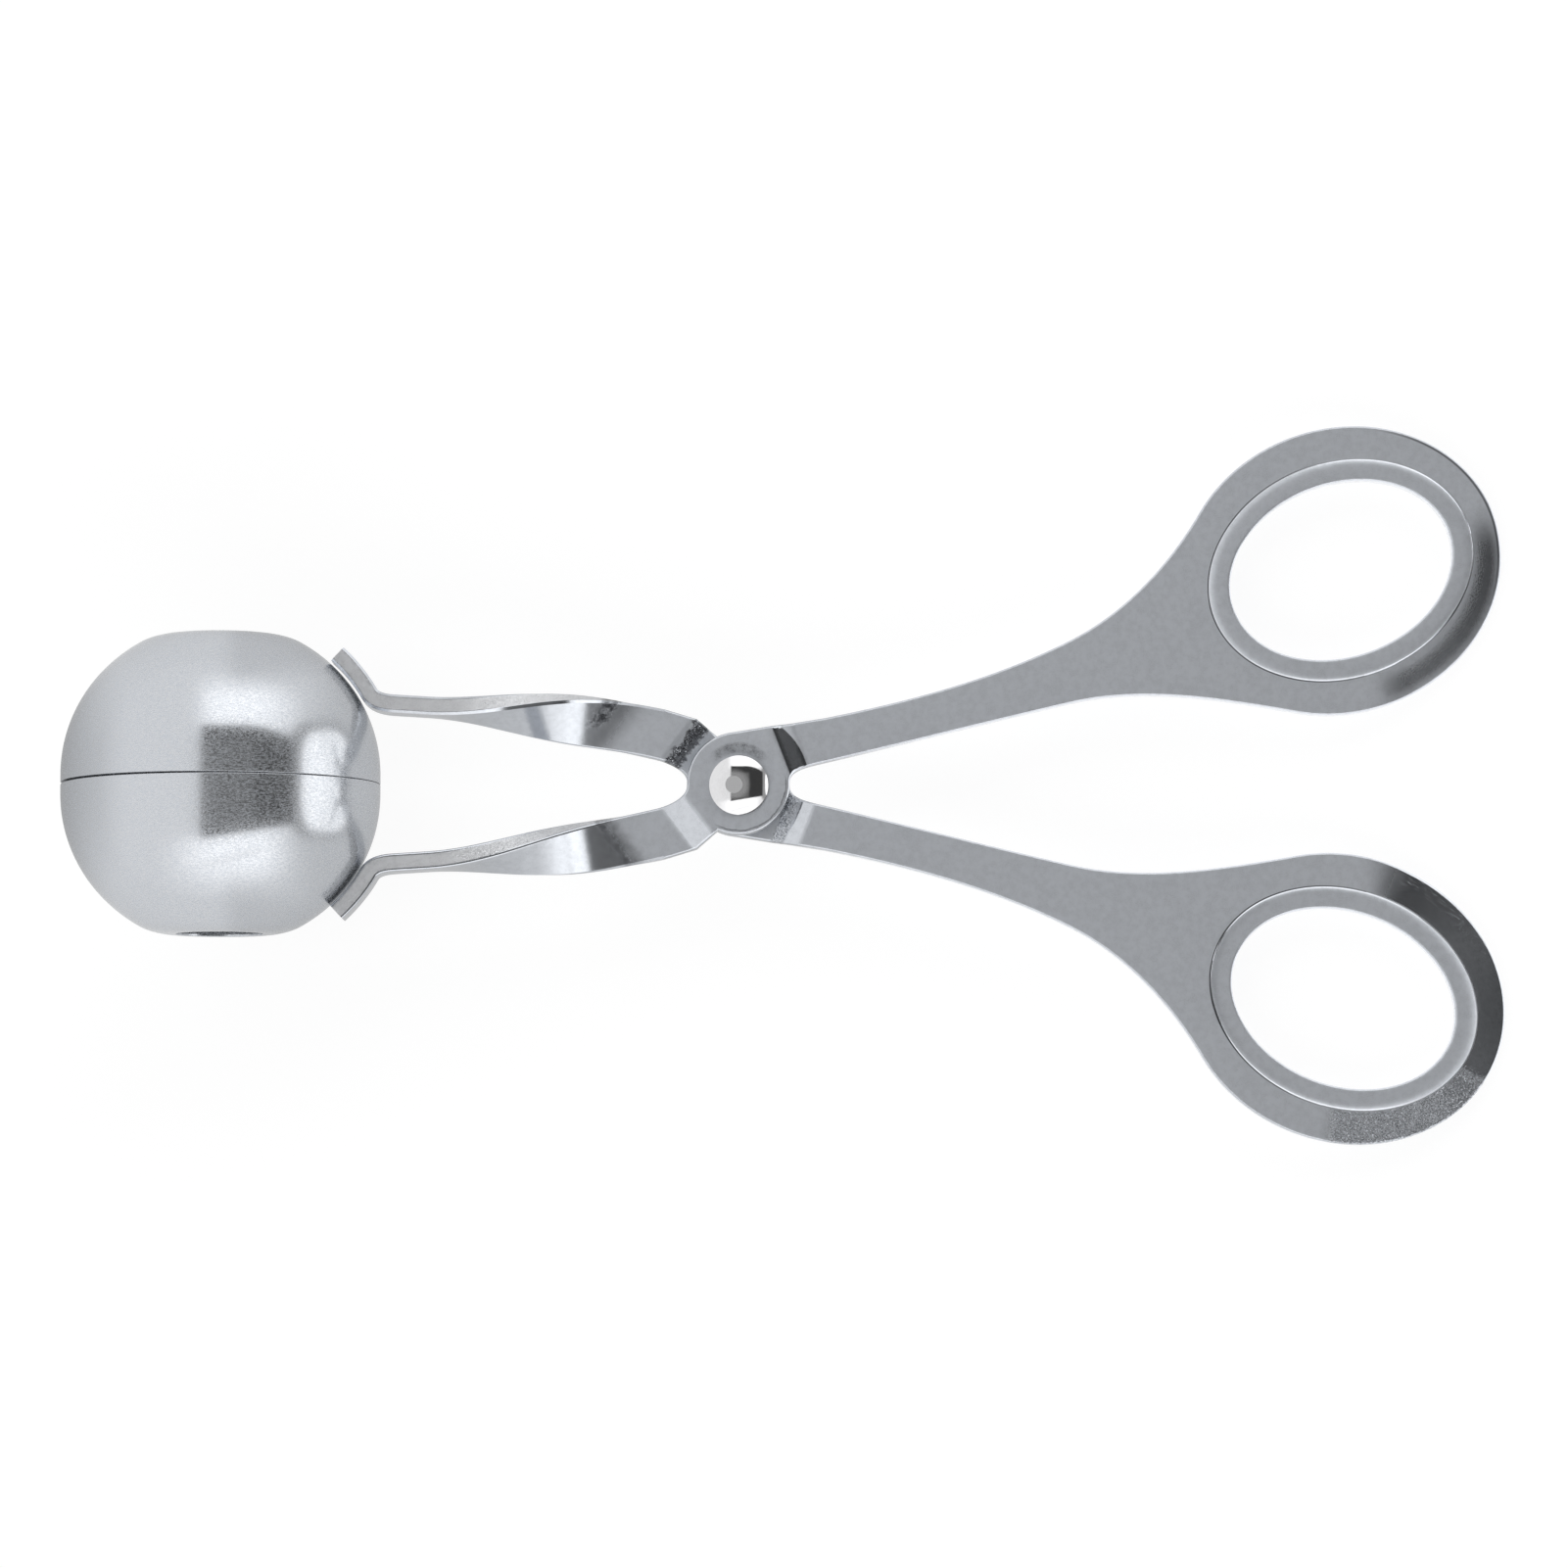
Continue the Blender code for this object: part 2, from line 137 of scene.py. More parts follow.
# Shank, from the disc to the ring
SHANK_HEADING = 21.0
SHANK_RAMP = 2.7 * MM
SLOPE_POLISH_REACH = 9.8 * MM
CROTCH_ANGLE = 2.0
CROTCH_KNOT = (10.6 * MM, 2.7 * MM)
CROTCH_KNOT_HEADING = 13.0
INNER_WEB_KNOT = (46.0 * MM, 11.2 * MM)
INNER_WEB_HEADING = 13.0
INNER_JOIN_ANGLE = -124.0
OUTER_JOIN_ANGLE = 133.0
OUTER_WEB_KNOT = (46.0 * MM, 20.0 * MM)
OUTER_WEB_HEADING = 207.0
SHOULDER_KNOT = (12.0 * MM, 9.15 * MM)
SHOULDER_HEADING = 191.5
DISC_TOP_ANGLE = 101.0

# Fineness
CROTCH_STEPS = 12
INNER_FLANK_STEPS = 24
ROOT_STEPS = 14
RIVET_HOLE_STEPS = 48
LAND_CORNER_STEPS = 6
CUP_RIM_STEPS = 3
RING_STEPS = 128
DISC_STEPS = 40
FLANK_STEPS = 30
TWIST_STEPS = 48
BEND_STEPS = 10
TAB_STEPS = 10
STRAIGHT_STEPS = 24
RAMP_SOFTNESS = 0.15
RAMP_CUTS_START = 6.55 * MM
RAMP_SPACING = 0.25 * MM
RAMP_HALF_WIDTH = 12.0 * MM
RAMP_CUTS_SHARE = 1.005 + RAMP_SOFTNESS
RIM_ROUND = 0.35 * MM
RIM_STEPS = 4
CUP_STEPS = 144
DOME_STEPS = 44
RIVET_STEPS = 96
CUT_SLACK = 1e-7
SAME_PLACE = 1e-6
REACH_SLACK = 1e-5
FACING_SHARE = 0.999
LEVEL_SHARE = 0.99
SHARP_EDGE = math.radians(60.0)
LAND_EDGE = math.radians(12.0)
SMOOTH_ANGLE = math.radians(35.0)
RIVET_SMOOTH_ANGLE = math.radians(8.0)

# Studio: places in the picture of a mirrored ball, and levels of light, each over those before it
ROOM_LEVEL = 0.95
CEILING_SIDES = (-0.121, 0.455)
CEILING_TOP = 0.327
CEILING_BEND_START = 0.15
CEILING_BEND = 1.15
CEILING_BOTTOM = -0.284
CEILING_RISE = 0.18
PANEL_LEVELS = {"right_part": 0.75, "left_end": 0.42, "upper_box": 1.62, "lower_box": 1.6,
                "streak": 1.2, "box_frame": 0.36, "ceiling": 0.05, "right_box": 1.62,
                "near_camera": 0.15}
FLOOR_SIZE = 6.0
FLOOR_GLOW = 0.86
FLOOR_MIRRORED_SHARE = 0.8

# Finishes
PLATING_COLOUR = (0.65, 0.675, 0.715, 1.0)
EDGE_COLOUR = (0.82, 0.83, 0.85, 1.0)
# Grime colour, also used for painted shade in creases and in from the ring's rim
DIRT_AND_SHADE_COLOUR = (0.05, 0.052, 0.06, 1.0)
HAZE_COLOUR = (0.56, 0.62, 0.71, 1.0)
LOWER_CUP_COLOUR = (0.66, 0.675, 0.70, 1.0)
UPPER_CUP_COLOUR = (0.65, 0.665, 0.69, 1.0)
RIVET_COLOUR = (0.80, 0.80, 0.81, 1.0)
SATIN_ROUGHNESS = 0.55
POLISHED_ROUGHNESS = 0.11

# Where an arm's finish changes, in millimetres: from, to, and how far it fades beyond both.
# Past the finger hole's edge
HAIRLINE = (2.9, 3.02, 0.08)
# Painted shade in the crease just outside the hairline
HAIRLINE_CREASE_SHADE = (3.06, 3.14, 0.1)
# From the rivet's middle
# A darker arc above the rivet
RIVET_DARK_ARC = (4.5, 5.3, 0.6)
# A dark line inside the disc's lower edge, where the disc sits
SEAT_DARK_LINE = (6.56, 6.6, 0.14)
# Along the strip, with the reach over which the torn edge ends
FRONT_SMUDGE = (17.0, 18.6, 1.4)
BACK_SMUDGE = (20.4, 21.6, 1.2)
BURNT_RAMP = (8.2, 9.6, 0.7)
FURROWS_END = (36.0, 39.0)
# Along the shank
GRITTY_RAMP = (7.1, 8.5, 0.4)
EASED_RAMP = (9.0, 10.4, 0.5)
# In from the ring's outer edge
RIM_SHADE = (0.35, 0.5, 0.15)


def heading_vector(degrees):
    angle = math.radians(degrees)
    return Vector((math.cos(angle), math.sin(angle)))


def circle_arc(radius, start, end, steps):
    """Points on a circle round the pivot, both ends included."""
    return [heading_vector(start + (end - start) * i / steps) * radius for i in range(steps + 1)]


def ring_point(semi_axes, degrees):
    """A point of a tilted ellipse round the finger hole."""
    place = heading_vector(degrees)
    flat = Vector((place.x * semi_axes[0], place.y * semi_axes[1]))
    flat.rotate(Matrix.Rotation(math.radians(RING_TILT), 2))
    return Vector(RING_CENTRE) + flat


def ring_heading(degrees):
    """The way the outer ellipse runs at a place on it, counter-clockwise."""
    ahead = ring_point(RING_OUTER, degrees + 0.01) - ring_point(RING_OUTER, degrees - 0.01)
    return math.degrees(math.atan2(ahead.y, ahead.x))


def curve_between(start, start_heading, end, end_heading, steps):
    """A cubic curve with a third of the chord in each handle, ends included."""
    start = Vector(start)
    end = Vector(end)
    reach = (end - start).length / 3.0
    first = start + heading_vector(start_heading) * reach
    second = end - heading_vector(end_heading) * reach
    return [point.to_2d() for point in interpolate_bezier(start, first, second, end, steps + 1)]


def straight_line(start, end, steps):
    start = Vector(start)
    end = Vector(end)
    return [start.lerp(end, i / steps) for i in range(steps + 1)]


def strip_place(place):
    """A point of the blank from its reach past the disc's edge and its side of the strip's heading."""
    ahead = heading_vector(STRIP_HEADING) * (DISC_RADIUS + place[0])
    return ahead + heading_vector(STRIP_HEADING + 90.0) * place[1]


def arm_outline():
    """The front arm's flat blank from above, counter-clockwise, starting across the strip's root."""
    stub = strip_place(STRIP_STUB)
    across = heading_vector(STRIP_STUB_HEADING + 90.0) * STRIP_STUB_WIDTH / 2.0
    heel = strip_place(STRIP_HEEL)
    crotch = heading_vector(CROTCH_ANGLE) * DISC_RADIUS
    strip_crotch = heading_vector(STRIP_CROTCH_ANGLE) * DISC_RADIUS
    sweep = OUTER_JOIN_ANGLE - INNER_JOIN_ANGLE
    ring_arc = [ring_point(RING_OUTER, INNER_JOIN_ANGLE + sweep * i / RING_STEPS)
                for i in range(RING_STEPS + 1)]
    stretches = (
        [stub - across, stub + across],
        [stub + across, heel],
        straight_line(heel, heading_vector(STRIP_HEEL_ANGLE) * DISC_RADIUS, STRAIGHT_STEPS),
        circle_arc(DISC_RADIUS, STRIP_HEEL_ANGLE - 360.0, CROTCH_ANGLE, DISC_STEPS),
        curve_between(crotch, CROTCH_ANGLE + 90.0, CROTCH_KNOT, CROTCH_KNOT_HEADING,
                      CROTCH_STEPS),
        curve_between(CROTCH_KNOT, CROTCH_KNOT_HEADING, INNER_WEB_KNOT, INNER_WEB_HEADING,
                      INNER_FLANK_STEPS),
        curve_between(INNER_WEB_KNOT, INNER_WEB_HEADING,
                      ring_arc[0], ring_heading(INNER_JOIN_ANGLE), FLANK_STEPS),
        ring_arc,
        curve_between(ring_arc[-1], ring_heading(OUTER_JOIN_ANGLE),
                      OUTER_WEB_KNOT, OUTER_WEB_HEADING, FLANK_STEPS),
        curve_between(OUTER_WEB_KNOT, OUTER_WEB_HEADING, SHOULDER_KNOT, SHOULDER_HEADING, FLANK_STEPS),
        straight_line(SHOULDER_KNOT, heading_vector(DISC_TOP_ANGLE) * DISC_RADIUS, 2 * STRAIGHT_STEPS),
        circle_arc(DISC_RADIUS, DISC_TOP_ANGLE, STRIP_CROTCH_ANGLE, DISC_STEPS // 2),
        curve_between(strip_crotch, STRIP_CROTCH_ANGLE + 90.0,
                      stub - across, STRIP_STUB_HEADING, ROOT_STEPS),
    )
    return [point for stretch in stretches for point in stretch[:-1]]


def band_loops():
    """Ellipses round the finger hole, from where grinding starts outside the band to the hole."""
    loops = []
    for inward in (-FRONT_WEAR[2], *BAND_LOOPS, BAND_WIDTH):
        offset = BAND_WIDTH - inward
        semi_axes = (RING_HOLE[0] + offset, RING_HOLE[1] + offset)
        loops.append([ring_point(semi_axes, 360.0 * i / RING_STEPS) for i in range(RING_STEPS)])
    return loops


def clear_selection():
    for item in bpy.context.view_layer.objects:
        item.select_set(False)


def start_editing(piece):
    clear_selection()
    bpy.context.view_layer.objects.active = piece
    piece.select_set(True)
    bpy.ops.object.mode_set(mode="EDIT")
    bpy.ops.mesh.select_all(action="DESELECT")


def pick(piece, kind, test):
    """Selects the vertices, edges or faces that pass a test, and nothing else."""
    bpy.ops.mesh.select_all(action="DESELECT")
    modes = ("verts", "edges", "faces")
    bpy.context.tool_settings.mesh_select_mode = [kind == mode for mode in modes]
    bm = bmesh.from_edit_mesh(piece.data)
    for item in getattr(bm, kind):
        if test(item):
            item.select_set(True)
    bm.select_flush_mode()
    bmesh.update_edit_mesh(piece.data)


def new_piece(name, places, edges):
    mesh = bpy.data.meshes.new(name)
    mesh.from_pydata(places, edges, [])
    piece = bpy.data.objects.new(name, mesh)
    bpy.context.scene.collection.objects.link(piece)
    return piece


def draw_loops(name, loops):
    """A piece of closed flat loops, to be filled."""
    places = []
    edges = []
    for loop in loops:
        first = len(places)
        places += [(point.x, point.y, 0.0) for point in loop]
        edges += [(first + i, first + (i + 1) % len(loop)) for i in range(len(loop))]
    return new_piece(name, places, edges)


def ring_offset(point):
    """About how far outside the finger hole's edge a point of the blank is."""
    local = point.to_2d() - Vector(RING_CENTRE)
    local.rotate(Matrix.Rotation(-math.radians(RING_TILT), 2))
    reach = local.length
    if reach < SAME_PLACE:
        return -RING_HOLE[1]
    unit = local / reach
    edge = 1.0 / math.hypot(unit.x / RING_HOLE[0], unit.y / RING_HOLE[1])
    return reach - edge


def rounded_clamp(value):
    """0 to 1 with softened corners."""
    soft = RAMP_SOFTNESS
    if value <= -soft:
        return 0.0
    if value < soft:
        return (value + soft) ** 2 / (4.0 * soft)
    if value <= 1.0 - soft:
        return value
    if value < 1.0 + soft:
        return 1.0 - (1.0 + soft - value) ** 2 / (4.0 * soft)
    return 1.0


def disc_share(point):
    """How much of the disc's lift a point of the blank has: 1 on the disc, 0 past a ramp."""
    strip_part = (point.dot(heading_vector(STRIP_HEADING)) - DISC_RADIUS) / STRIP_RAMP
    shank_part = (point.dot(heading_vector(SHANK_HEADING)) - DISC_RADIUS) / SHANK_RAMP
    return 1.0 - rounded_clamp(max(strip_part, shank_part))


def band_rise(point):
    """How far the band round the finger hole stands up, steepest at its hairline."""
    inward = max(0.0, BAND_WIDTH - ring_offset(point))
    return BAND_RISE * (1.0 - math.exp(-inward / BAND_SHOULDER))


def end_wear(point, wear):
    """How deep grinding has gone at a place of the blank: deeper toward the ring's outer edge."""
    middle, half_sweep, start, slope = wear
    away = point.to_2d() - Vector(RING_CENTRE)
    turned = math.degrees(away.angle(heading_vector(middle), 0.0))
    share = min(1.0, max(0.0, (half_sweep + WEAR_FADE - turned) / (2.0 * WEAR_FADE)))
    share *= share * (3.0 - 2.0 * share)
    return slope * share * max(0.0, ring_offset(point) - BAND_WIDTH - start)


def dome_offset_point(degrees, distance):
    """A point off the lower cup's dome, with the dome's outward normal there."""
    place = heading_vector(degrees)
    on_dome = Vector((CUP_RADIUS * place.x, -CUP_SKIRT - CUP_DOME_RISE * place.y))
    outward = Vector((place.x / CUP_RADIUS, -place.y / CUP_DOME_RISE)).normalized()
    on_dome.x -= CUP_FROM_PIVOT
    on_dome.y -= TOUCH_GAP / 2.0
    return on_dome + outward * distance, outward


def strip_centreline():
    """Centre points of the strip from its stub to the end of its welded tab."""
    off_cup = TOUCH_GAP + SHEET / 2.0
    span = TAB_HIGH_ANGLE - TAB_LOW_ANGLE
    tab = [dome_offset_point(TAB_LOW_ANGLE + span * i / TAB_STEPS, off_cup)[0]
           for i in range(TAB_STEPS + 1)]
    tab_outward = dome_offset_point(TAB_LOW_ANGLE, off_cup)[1]
    tab_heading = math.degrees(math.atan2(-tab_outward.x, tab_outward.y))
    bend_start = tab[0] + Vector(TAB_BEND)
    run = curve_between(strip_place(STRIP_STUB), STRIP_STUB_HEADING,
                        bend_start, STRIP_LEVEL_HEADING, TWIST_STEPS)
    bend = curve_between(bend_start, STRIP_LEVEL_HEADING, tab[0], tab_heading % 360.0, BEND_STEPS)
    return run[:-1] + bend[:-1] + tab


def strip_section(points, index):
    """Frame of the strip's section at a centre point: its width, its thickness, its run."""
    before = points[max(index - 1, 0)]
    after = points[min(index + 1, len(points) - 1)]
    run = (after - before).to_3d().normalized()
    if index == 0:
        run = heading_vector(STRIP_STUB_HEADING).to_3d()
    twist_end = points[TWIST_STEPS].x + STRIP_LEVEL_RUN
    share = (points[index].x - points[0].x) / (twist_end - points[0].x)
    share = min(1.0, max(0.0, share))
    turn = Matrix.Rotation(-math.radians(STRIP_TWIST) * share * share * (3.0 - 2.0 * share), 4, run)
    thickness = turn @ Vector((0.0, 0.0, 1.0))
    taper = STRIP_STUB_WIDTH + (STRIP_WIDTH - STRIP_STUB_WIDTH) * share
    width = thickness.cross(run) * (taper / STRIP_STUB_WIDTH)
    section = Matrix((width, thickness, run)).transposed().to_4x4()
    section.translation = points[index].to_3d()
    return section


def draw_strip(bm, blank_place):
    """Runs the stub on as a twisted strip and bends its end along the cup."""
    points = strip_centreline()
    outward = heading_vector(STRIP_STUB_HEADING).to_3d()
    facing = [face for face in bm.faces if face.normal.dot(outward) > FACING_SHARE]
    root = points[0].to_3d()
    face = min(facing, key=lambda item: (item.calc_center_median() - root).length)
    frame_here = strip_section(points, 0)
    for index in range(1, len(points)):
        grown = bmesh.ops.extrude_face_region(bm, geom=[face])["geom"]
        verts = [item for item in grown if isinstance(item, bmesh.types.BMVert)]
        bmesh.ops.delete(bm, geom=[face], context="FACES_ONLY")
        following = strip_section(points, index)
        bmesh.ops.transform(bm, matrix=following @ frame_here.inverted(), verts=verts)
        step = outward * (points[index] - points[index - 1]).length
        for vert in verts:
            vert[blank_place] = vert[blank_place] + step
        face = next(item for item in grown if isinstance(item, bmesh.types.BMFace))
        frame_here = following


def is_level(face):
    return abs(face.normal.z) > LEVEL_SHARE


def cut_ramp(piece, heading, cuts_end):
    """Cuts the plate where it will slope, in small squares laid out along a heading."""
    low = RAMP_CUTS_START
    ahead = heading_vector(heading)
    aside = heading_vector(heading + 90.0)

    def in_reach(item):
        return all(low - REACH_SLACK < vert.co.to_2d().dot(ahead) < cuts_end + REACH_SLACK
                   for vert in item.verts)

    def slanted_inside(edge):
        run = (edge.verts[1].co - edge.verts[0].co).to_2d()
        return (in_reach(edge) and len(edge.link_faces) == 2
                and all(is_level(face) for face in edge.link_faces)
                and min(abs(run.dot(ahead)), abs(run.dot(aside))) > SAME_PLACE)

    for reach in (low, cuts_end):
        bpy.ops.mesh.select_all(action="SELECT")
        bpy.ops.mesh.bisect(plane_co=(ahead * reach).to_3d(), plane_no=ahead.to_3d(), threshold=CUT_SLACK)
    along_count = int((cuts_end - low) / RAMP_SPACING)
    aside_count = int(RAMP_HALF_WIDTH / RAMP_SPACING)
    cuts = [(ahead, low + i * RAMP_SPACING) for i in range(1, along_count + 1)]
    cuts += [(aside, i * RAMP_SPACING) for i in range(-aside_count, aside_count + 1)]
    for along, reach in cuts:
        pick(piece, "faces", in_reach)
        bpy.ops.mesh.bisect(plane_co=(along * reach).to_3d(), plane_no=along.to_3d(), threshold=CUT_SLACK)
    pick(piece, "edges", slanted_inside)
    bpy.ops.mesh.dissolve_edges(use_verts=False)


def at_root(vert):
    """Whether a vertex of the blank is on the line where the strip grows on."""
    away = vert.co.to_2d() - strip_place(STRIP_STUB)
    along = away.dot(heading_vector(STRIP_STUB_HEADING))
    return abs(along) < SAME_PLACE and away.length < STRIP_STUB_WIDTH


def arm_blank(name):
    """The stamped plate, still flat, with rounded rims."""
    outline = arm_outline()
    rivet_hole = circle_arc(RIVET_HOLE_RADIUS, 0.0, 360.0, RIVET_HOLE_STEPS)[:-1]
    bands = band_loops()
    piece = draw_loops(name, [outline, rivet_hole] + bands)
    starts = [0, len(outline), len(outline) + len(rivet_hole)]
    for loop in bands:
        starts.append(starts[-1] + len(loop))
    start_editing(piece)
    pick(piece, "edges", lambda edge: all(vert.index < starts[3] for vert in edge.verts))
    bpy.ops.mesh.fill(use_beauty=True)
    for i in range(2, len(starts) - 2):
        low, high = starts[i], starts[i + 2]
        pick(piece, "edges", lambda edge: all(low <= vert.index < high for vert in edge.verts)
             and len(edge.link_faces) < 2)
        bpy.ops.mesh.bridge_edge_loops()
    bpy.ops.mesh.select_all(action="SELECT")
    bpy.ops.mesh.extrude_region_move(TRANSFORM_OT_translate={"value": (0.0, 0.0, SHEET)})
    bpy.ops.mesh.select_all(action="SELECT")
    bpy.ops.transform.translate(value=(0.0, 0.0, -SHEET / 2.0))
    bpy.ops.mesh.normals_make_consistent(inside=False)
    pick(piece, "edges", lambda edge: edge.calc_face_angle(0.0) > SHARP_EDGE
         and not all(at_root(vert) for vert in edge.verts)
         and abs(edge.verts[0].co.z - edge.verts[1].co.z) < SAME_PLACE)
    bpy.ops.mesh.bevel(offset=RIM_ROUND, segments=RIM_STEPS, profile=0.5, clamp_overlap=False)
    cut_ramp(piece, STRIP_HEADING, DISC_RADIUS + RAMP_CUTS_SHARE * STRIP_RAMP)
    cut_ramp(piece, SHANK_HEADING, DISC_RADIUS + RAMP_CUTS_SHARE * SHANK_RAMP)
    bpy.ops.object.mode_set(mode="OBJECT")
    return piece


def shape_arm(piece, shown_side, wear):
    """Presses the disc up, dishes the band, grinds the ring's shown side and draws out the strip."""
    bm = bmesh.new()
    bm.from_mesh(piece.data)
    blank_place = bm.verts.layers.float_vector.new("blank_place")
    for vert in bm.verts:
        vert[blank_place] = vert.co
        flat = vert.co.to_2d()
        if vert.co.z * shown_side > 0.0:
            vert.co.z -= shown_side * end_wear(flat, wear)
        vert.co.z += DISC_LIFT * disc_share(flat) + band_rise(flat)
    bm.normal_update()
    draw_strip(bm, blank_place)
    bm.to_mesh(piece.data)
    bm.free()


def dress(piece, node, body, material):
    """Hands a finished piece its material and its body, and hides the CAD node it stands for."""
    piece.data.materials.append(material)
    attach(piece, body)
    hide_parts(node)


def make_arms():
    """The front arm, and the back arm from the same stamping turned over."""
    front = arm_blank("front_arm_stamping")
    back = front.copy()
    back.name = "back_arm_stamping"
    back.data = front.data.copy()
    bpy.context.scene.collection.objects.link(back)
    shape_arm(front, 1.0, FRONT_WEAR)
    shape_arm(back, -1.0, BACK_WEAR)
    place_piece(front, TOOL_FRAME, SMOOTH_ANGLE)
    place_piece(back, TOOL_FRAME @ HALF_TURN, SMOOTH_ANGLE)
    return front, back


def turn_section(name, section, centre, axis, steps):
    """Spins an open line of points round an axis to a skin whose faces point outwards."""
    piece = new_piece(name, section, [(i, i + 1) for i in range(len(section) - 1)])
    start_editing(piece)
    bpy.ops.mesh.select_all(action="SELECT")
    bpy.ops.mesh.spin(steps=steps, angle=math.tau, center=centre, axis=axis)
    bpy.ops.mesh.select_all(action="SELECT")
    bpy.ops.mesh.remove_doubles(threshold=SAME_PLACE)
    bpy.ops.mesh.normals_make_consistent(inside=False)
    return piece


def place_piece(piece, placing, smooth_angle):
    """Lays a piece down where the tool lies and lets its flat faces lead the shading."""
    if piece.mode == "EDIT":
        bpy.ops.object.mode_set(mode="OBJECT")
    piece.data.transform(placing)
    start_editing(piece)
    bpy.ops.mesh.select_all(action="SELECT")
    bpy.ops.mesh.normals_make_consistent(inside=False)
    bpy.ops.object.mode_set(mode="OBJECT")
    bpy.ops.object.shade_smooth_by_angle(angle=smooth_angle)
    weighted = piece.modifiers.new("weighted", "WEIGHTED_NORMAL")
    weighted.keep_sharp = True
    bpy.ops.object.modifier_apply(modifier=weighted.name)


def cup_section(side):
    """The cup's outer face from its rim to its vent hole; side is the way along Y."""
    land_radius = VENT_RADIUS + LAND_WIDTH
    land_angle = math.degrees(math.acos(land_radius / CUP_RADIUS))
    places = [(CUP_RADIUS, 0.0), (CUP_RADIUS, 0.5 * CUP_SKIRT)]
    for i in range(DOME_STEPS + 1):
        place = heading_vector(land_angle * i / DOME_STEPS)
        radius = CUP_RADIUS * place.x
        if i == DOME_STEPS or radius > land_radius + LAND_CORNER:
            places.append((radius, CUP_SKIRT + CUP_DOME_RISE * place.y))
    places.append((VENT_RADIUS, places[-1][1]))
    return [(radius - CUP_FROM_PIVOT, side * (TOUCH_GAP / 2.0 + depth), 0.0)
            for radius, depth in places]


def close_rim(piece, side):
    """Leans a cup's rim to the other, so that the seam gapes at its far end only."""
    bm = bmesh.from_edit_mesh(piece.data)
    for vert in bm.verts:
        if abs(vert.co.y) < TOUCH_GAP:
            nearness = (vert.co.x + CUP_FROM_PIVOT + CUP_RADIUS) / (2.0 * CUP_RADIUS)
            vert.co.y -= side * nearness * (TOUCH_GAP - SEAM_NEAR_GAP) / 2.0
    bmesh.update_edit_mesh(piece.data)


def make_cup(name, side):
    """A half-ball cup: a turned dome with a flat vented land and a thin wall."""
    section = cup_section(side)
    piece = turn_section(name, section, (-CUP_FROM_PIVOT, 0.0, 0.0), (0.0, 1.0, 0.0), CUP_STEPS)
    close_rim(piece, side)
    pick(piece, "edges", lambda edge: len(edge.link_faces) == 2
         and edge.calc_face_angle(0.0) > LAND_EDGE)
    bpy.ops.mesh.bevel(offset=LAND_CORNER, segments=LAND_CORNER_STEPS, profile=0.5, clamp_overlap=False)
    bpy.ops.object.mode_set(mode="OBJECT")
    wall = piece.modifiers.new("wall", "SOLIDIFY")
    wall.thickness = CUP_WALL
    wall.offset = -1.0
    wall.use_even_offset = True
    bpy.ops.object.modifier_apply(modifier=wall.name)
    start_editing(piece)
    pick(piece, "edges", lambda edge: edge.calc_face_angle(0.0) > SHARP_EDGE)
    bpy.ops.mesh.bevel(offset=CUP_RIM_ROUND, segments=CUP_RIM_STEPS, profile=0.5, clamp_overlap=False)
    place_piece(piece, TOOL_FRAME, SMOOTH_ANGLE)
    return piece


def rivet_dome_radius():
    return (RIVET_HEAD_RADIUS ** 2 + RIVET_HEAD_RISE ** 2) / (2.0 * RIVET_HEAD_RISE)


def rivet_section():
    """The rivet from its upper crown to its lower one, as places at one side of its axis."""
    dome_radius = rivet_dome_radius()
    spread = math.degrees(math.asin(RIVET_HEAD_RADIUS / dome_radius))
    seat = SHEET + 1.5 * TOUCH_GAP
    crown = seat + RIVET_HEAD_RIM + RIVET_HEAD_RISE
    head = []
    for i in range(DOME_STEPS + 1):
        place = heading_vector(90.0 - spread * i / DOME_STEPS)
        head.append((dome_radius * place.x, crown - dome_radius * (1.0 - place.y)))
    head[0] = (0.0, crown)
    upper = head + [(RIVET_HEAD_RADIUS, seat), (RIVET_SHANK_RADIUS, seat)]
    lower = [(radius, -height) for radius, height in reversed(upper)]
    return [(radius, 0.0, height) for radius, height in upper + lower]


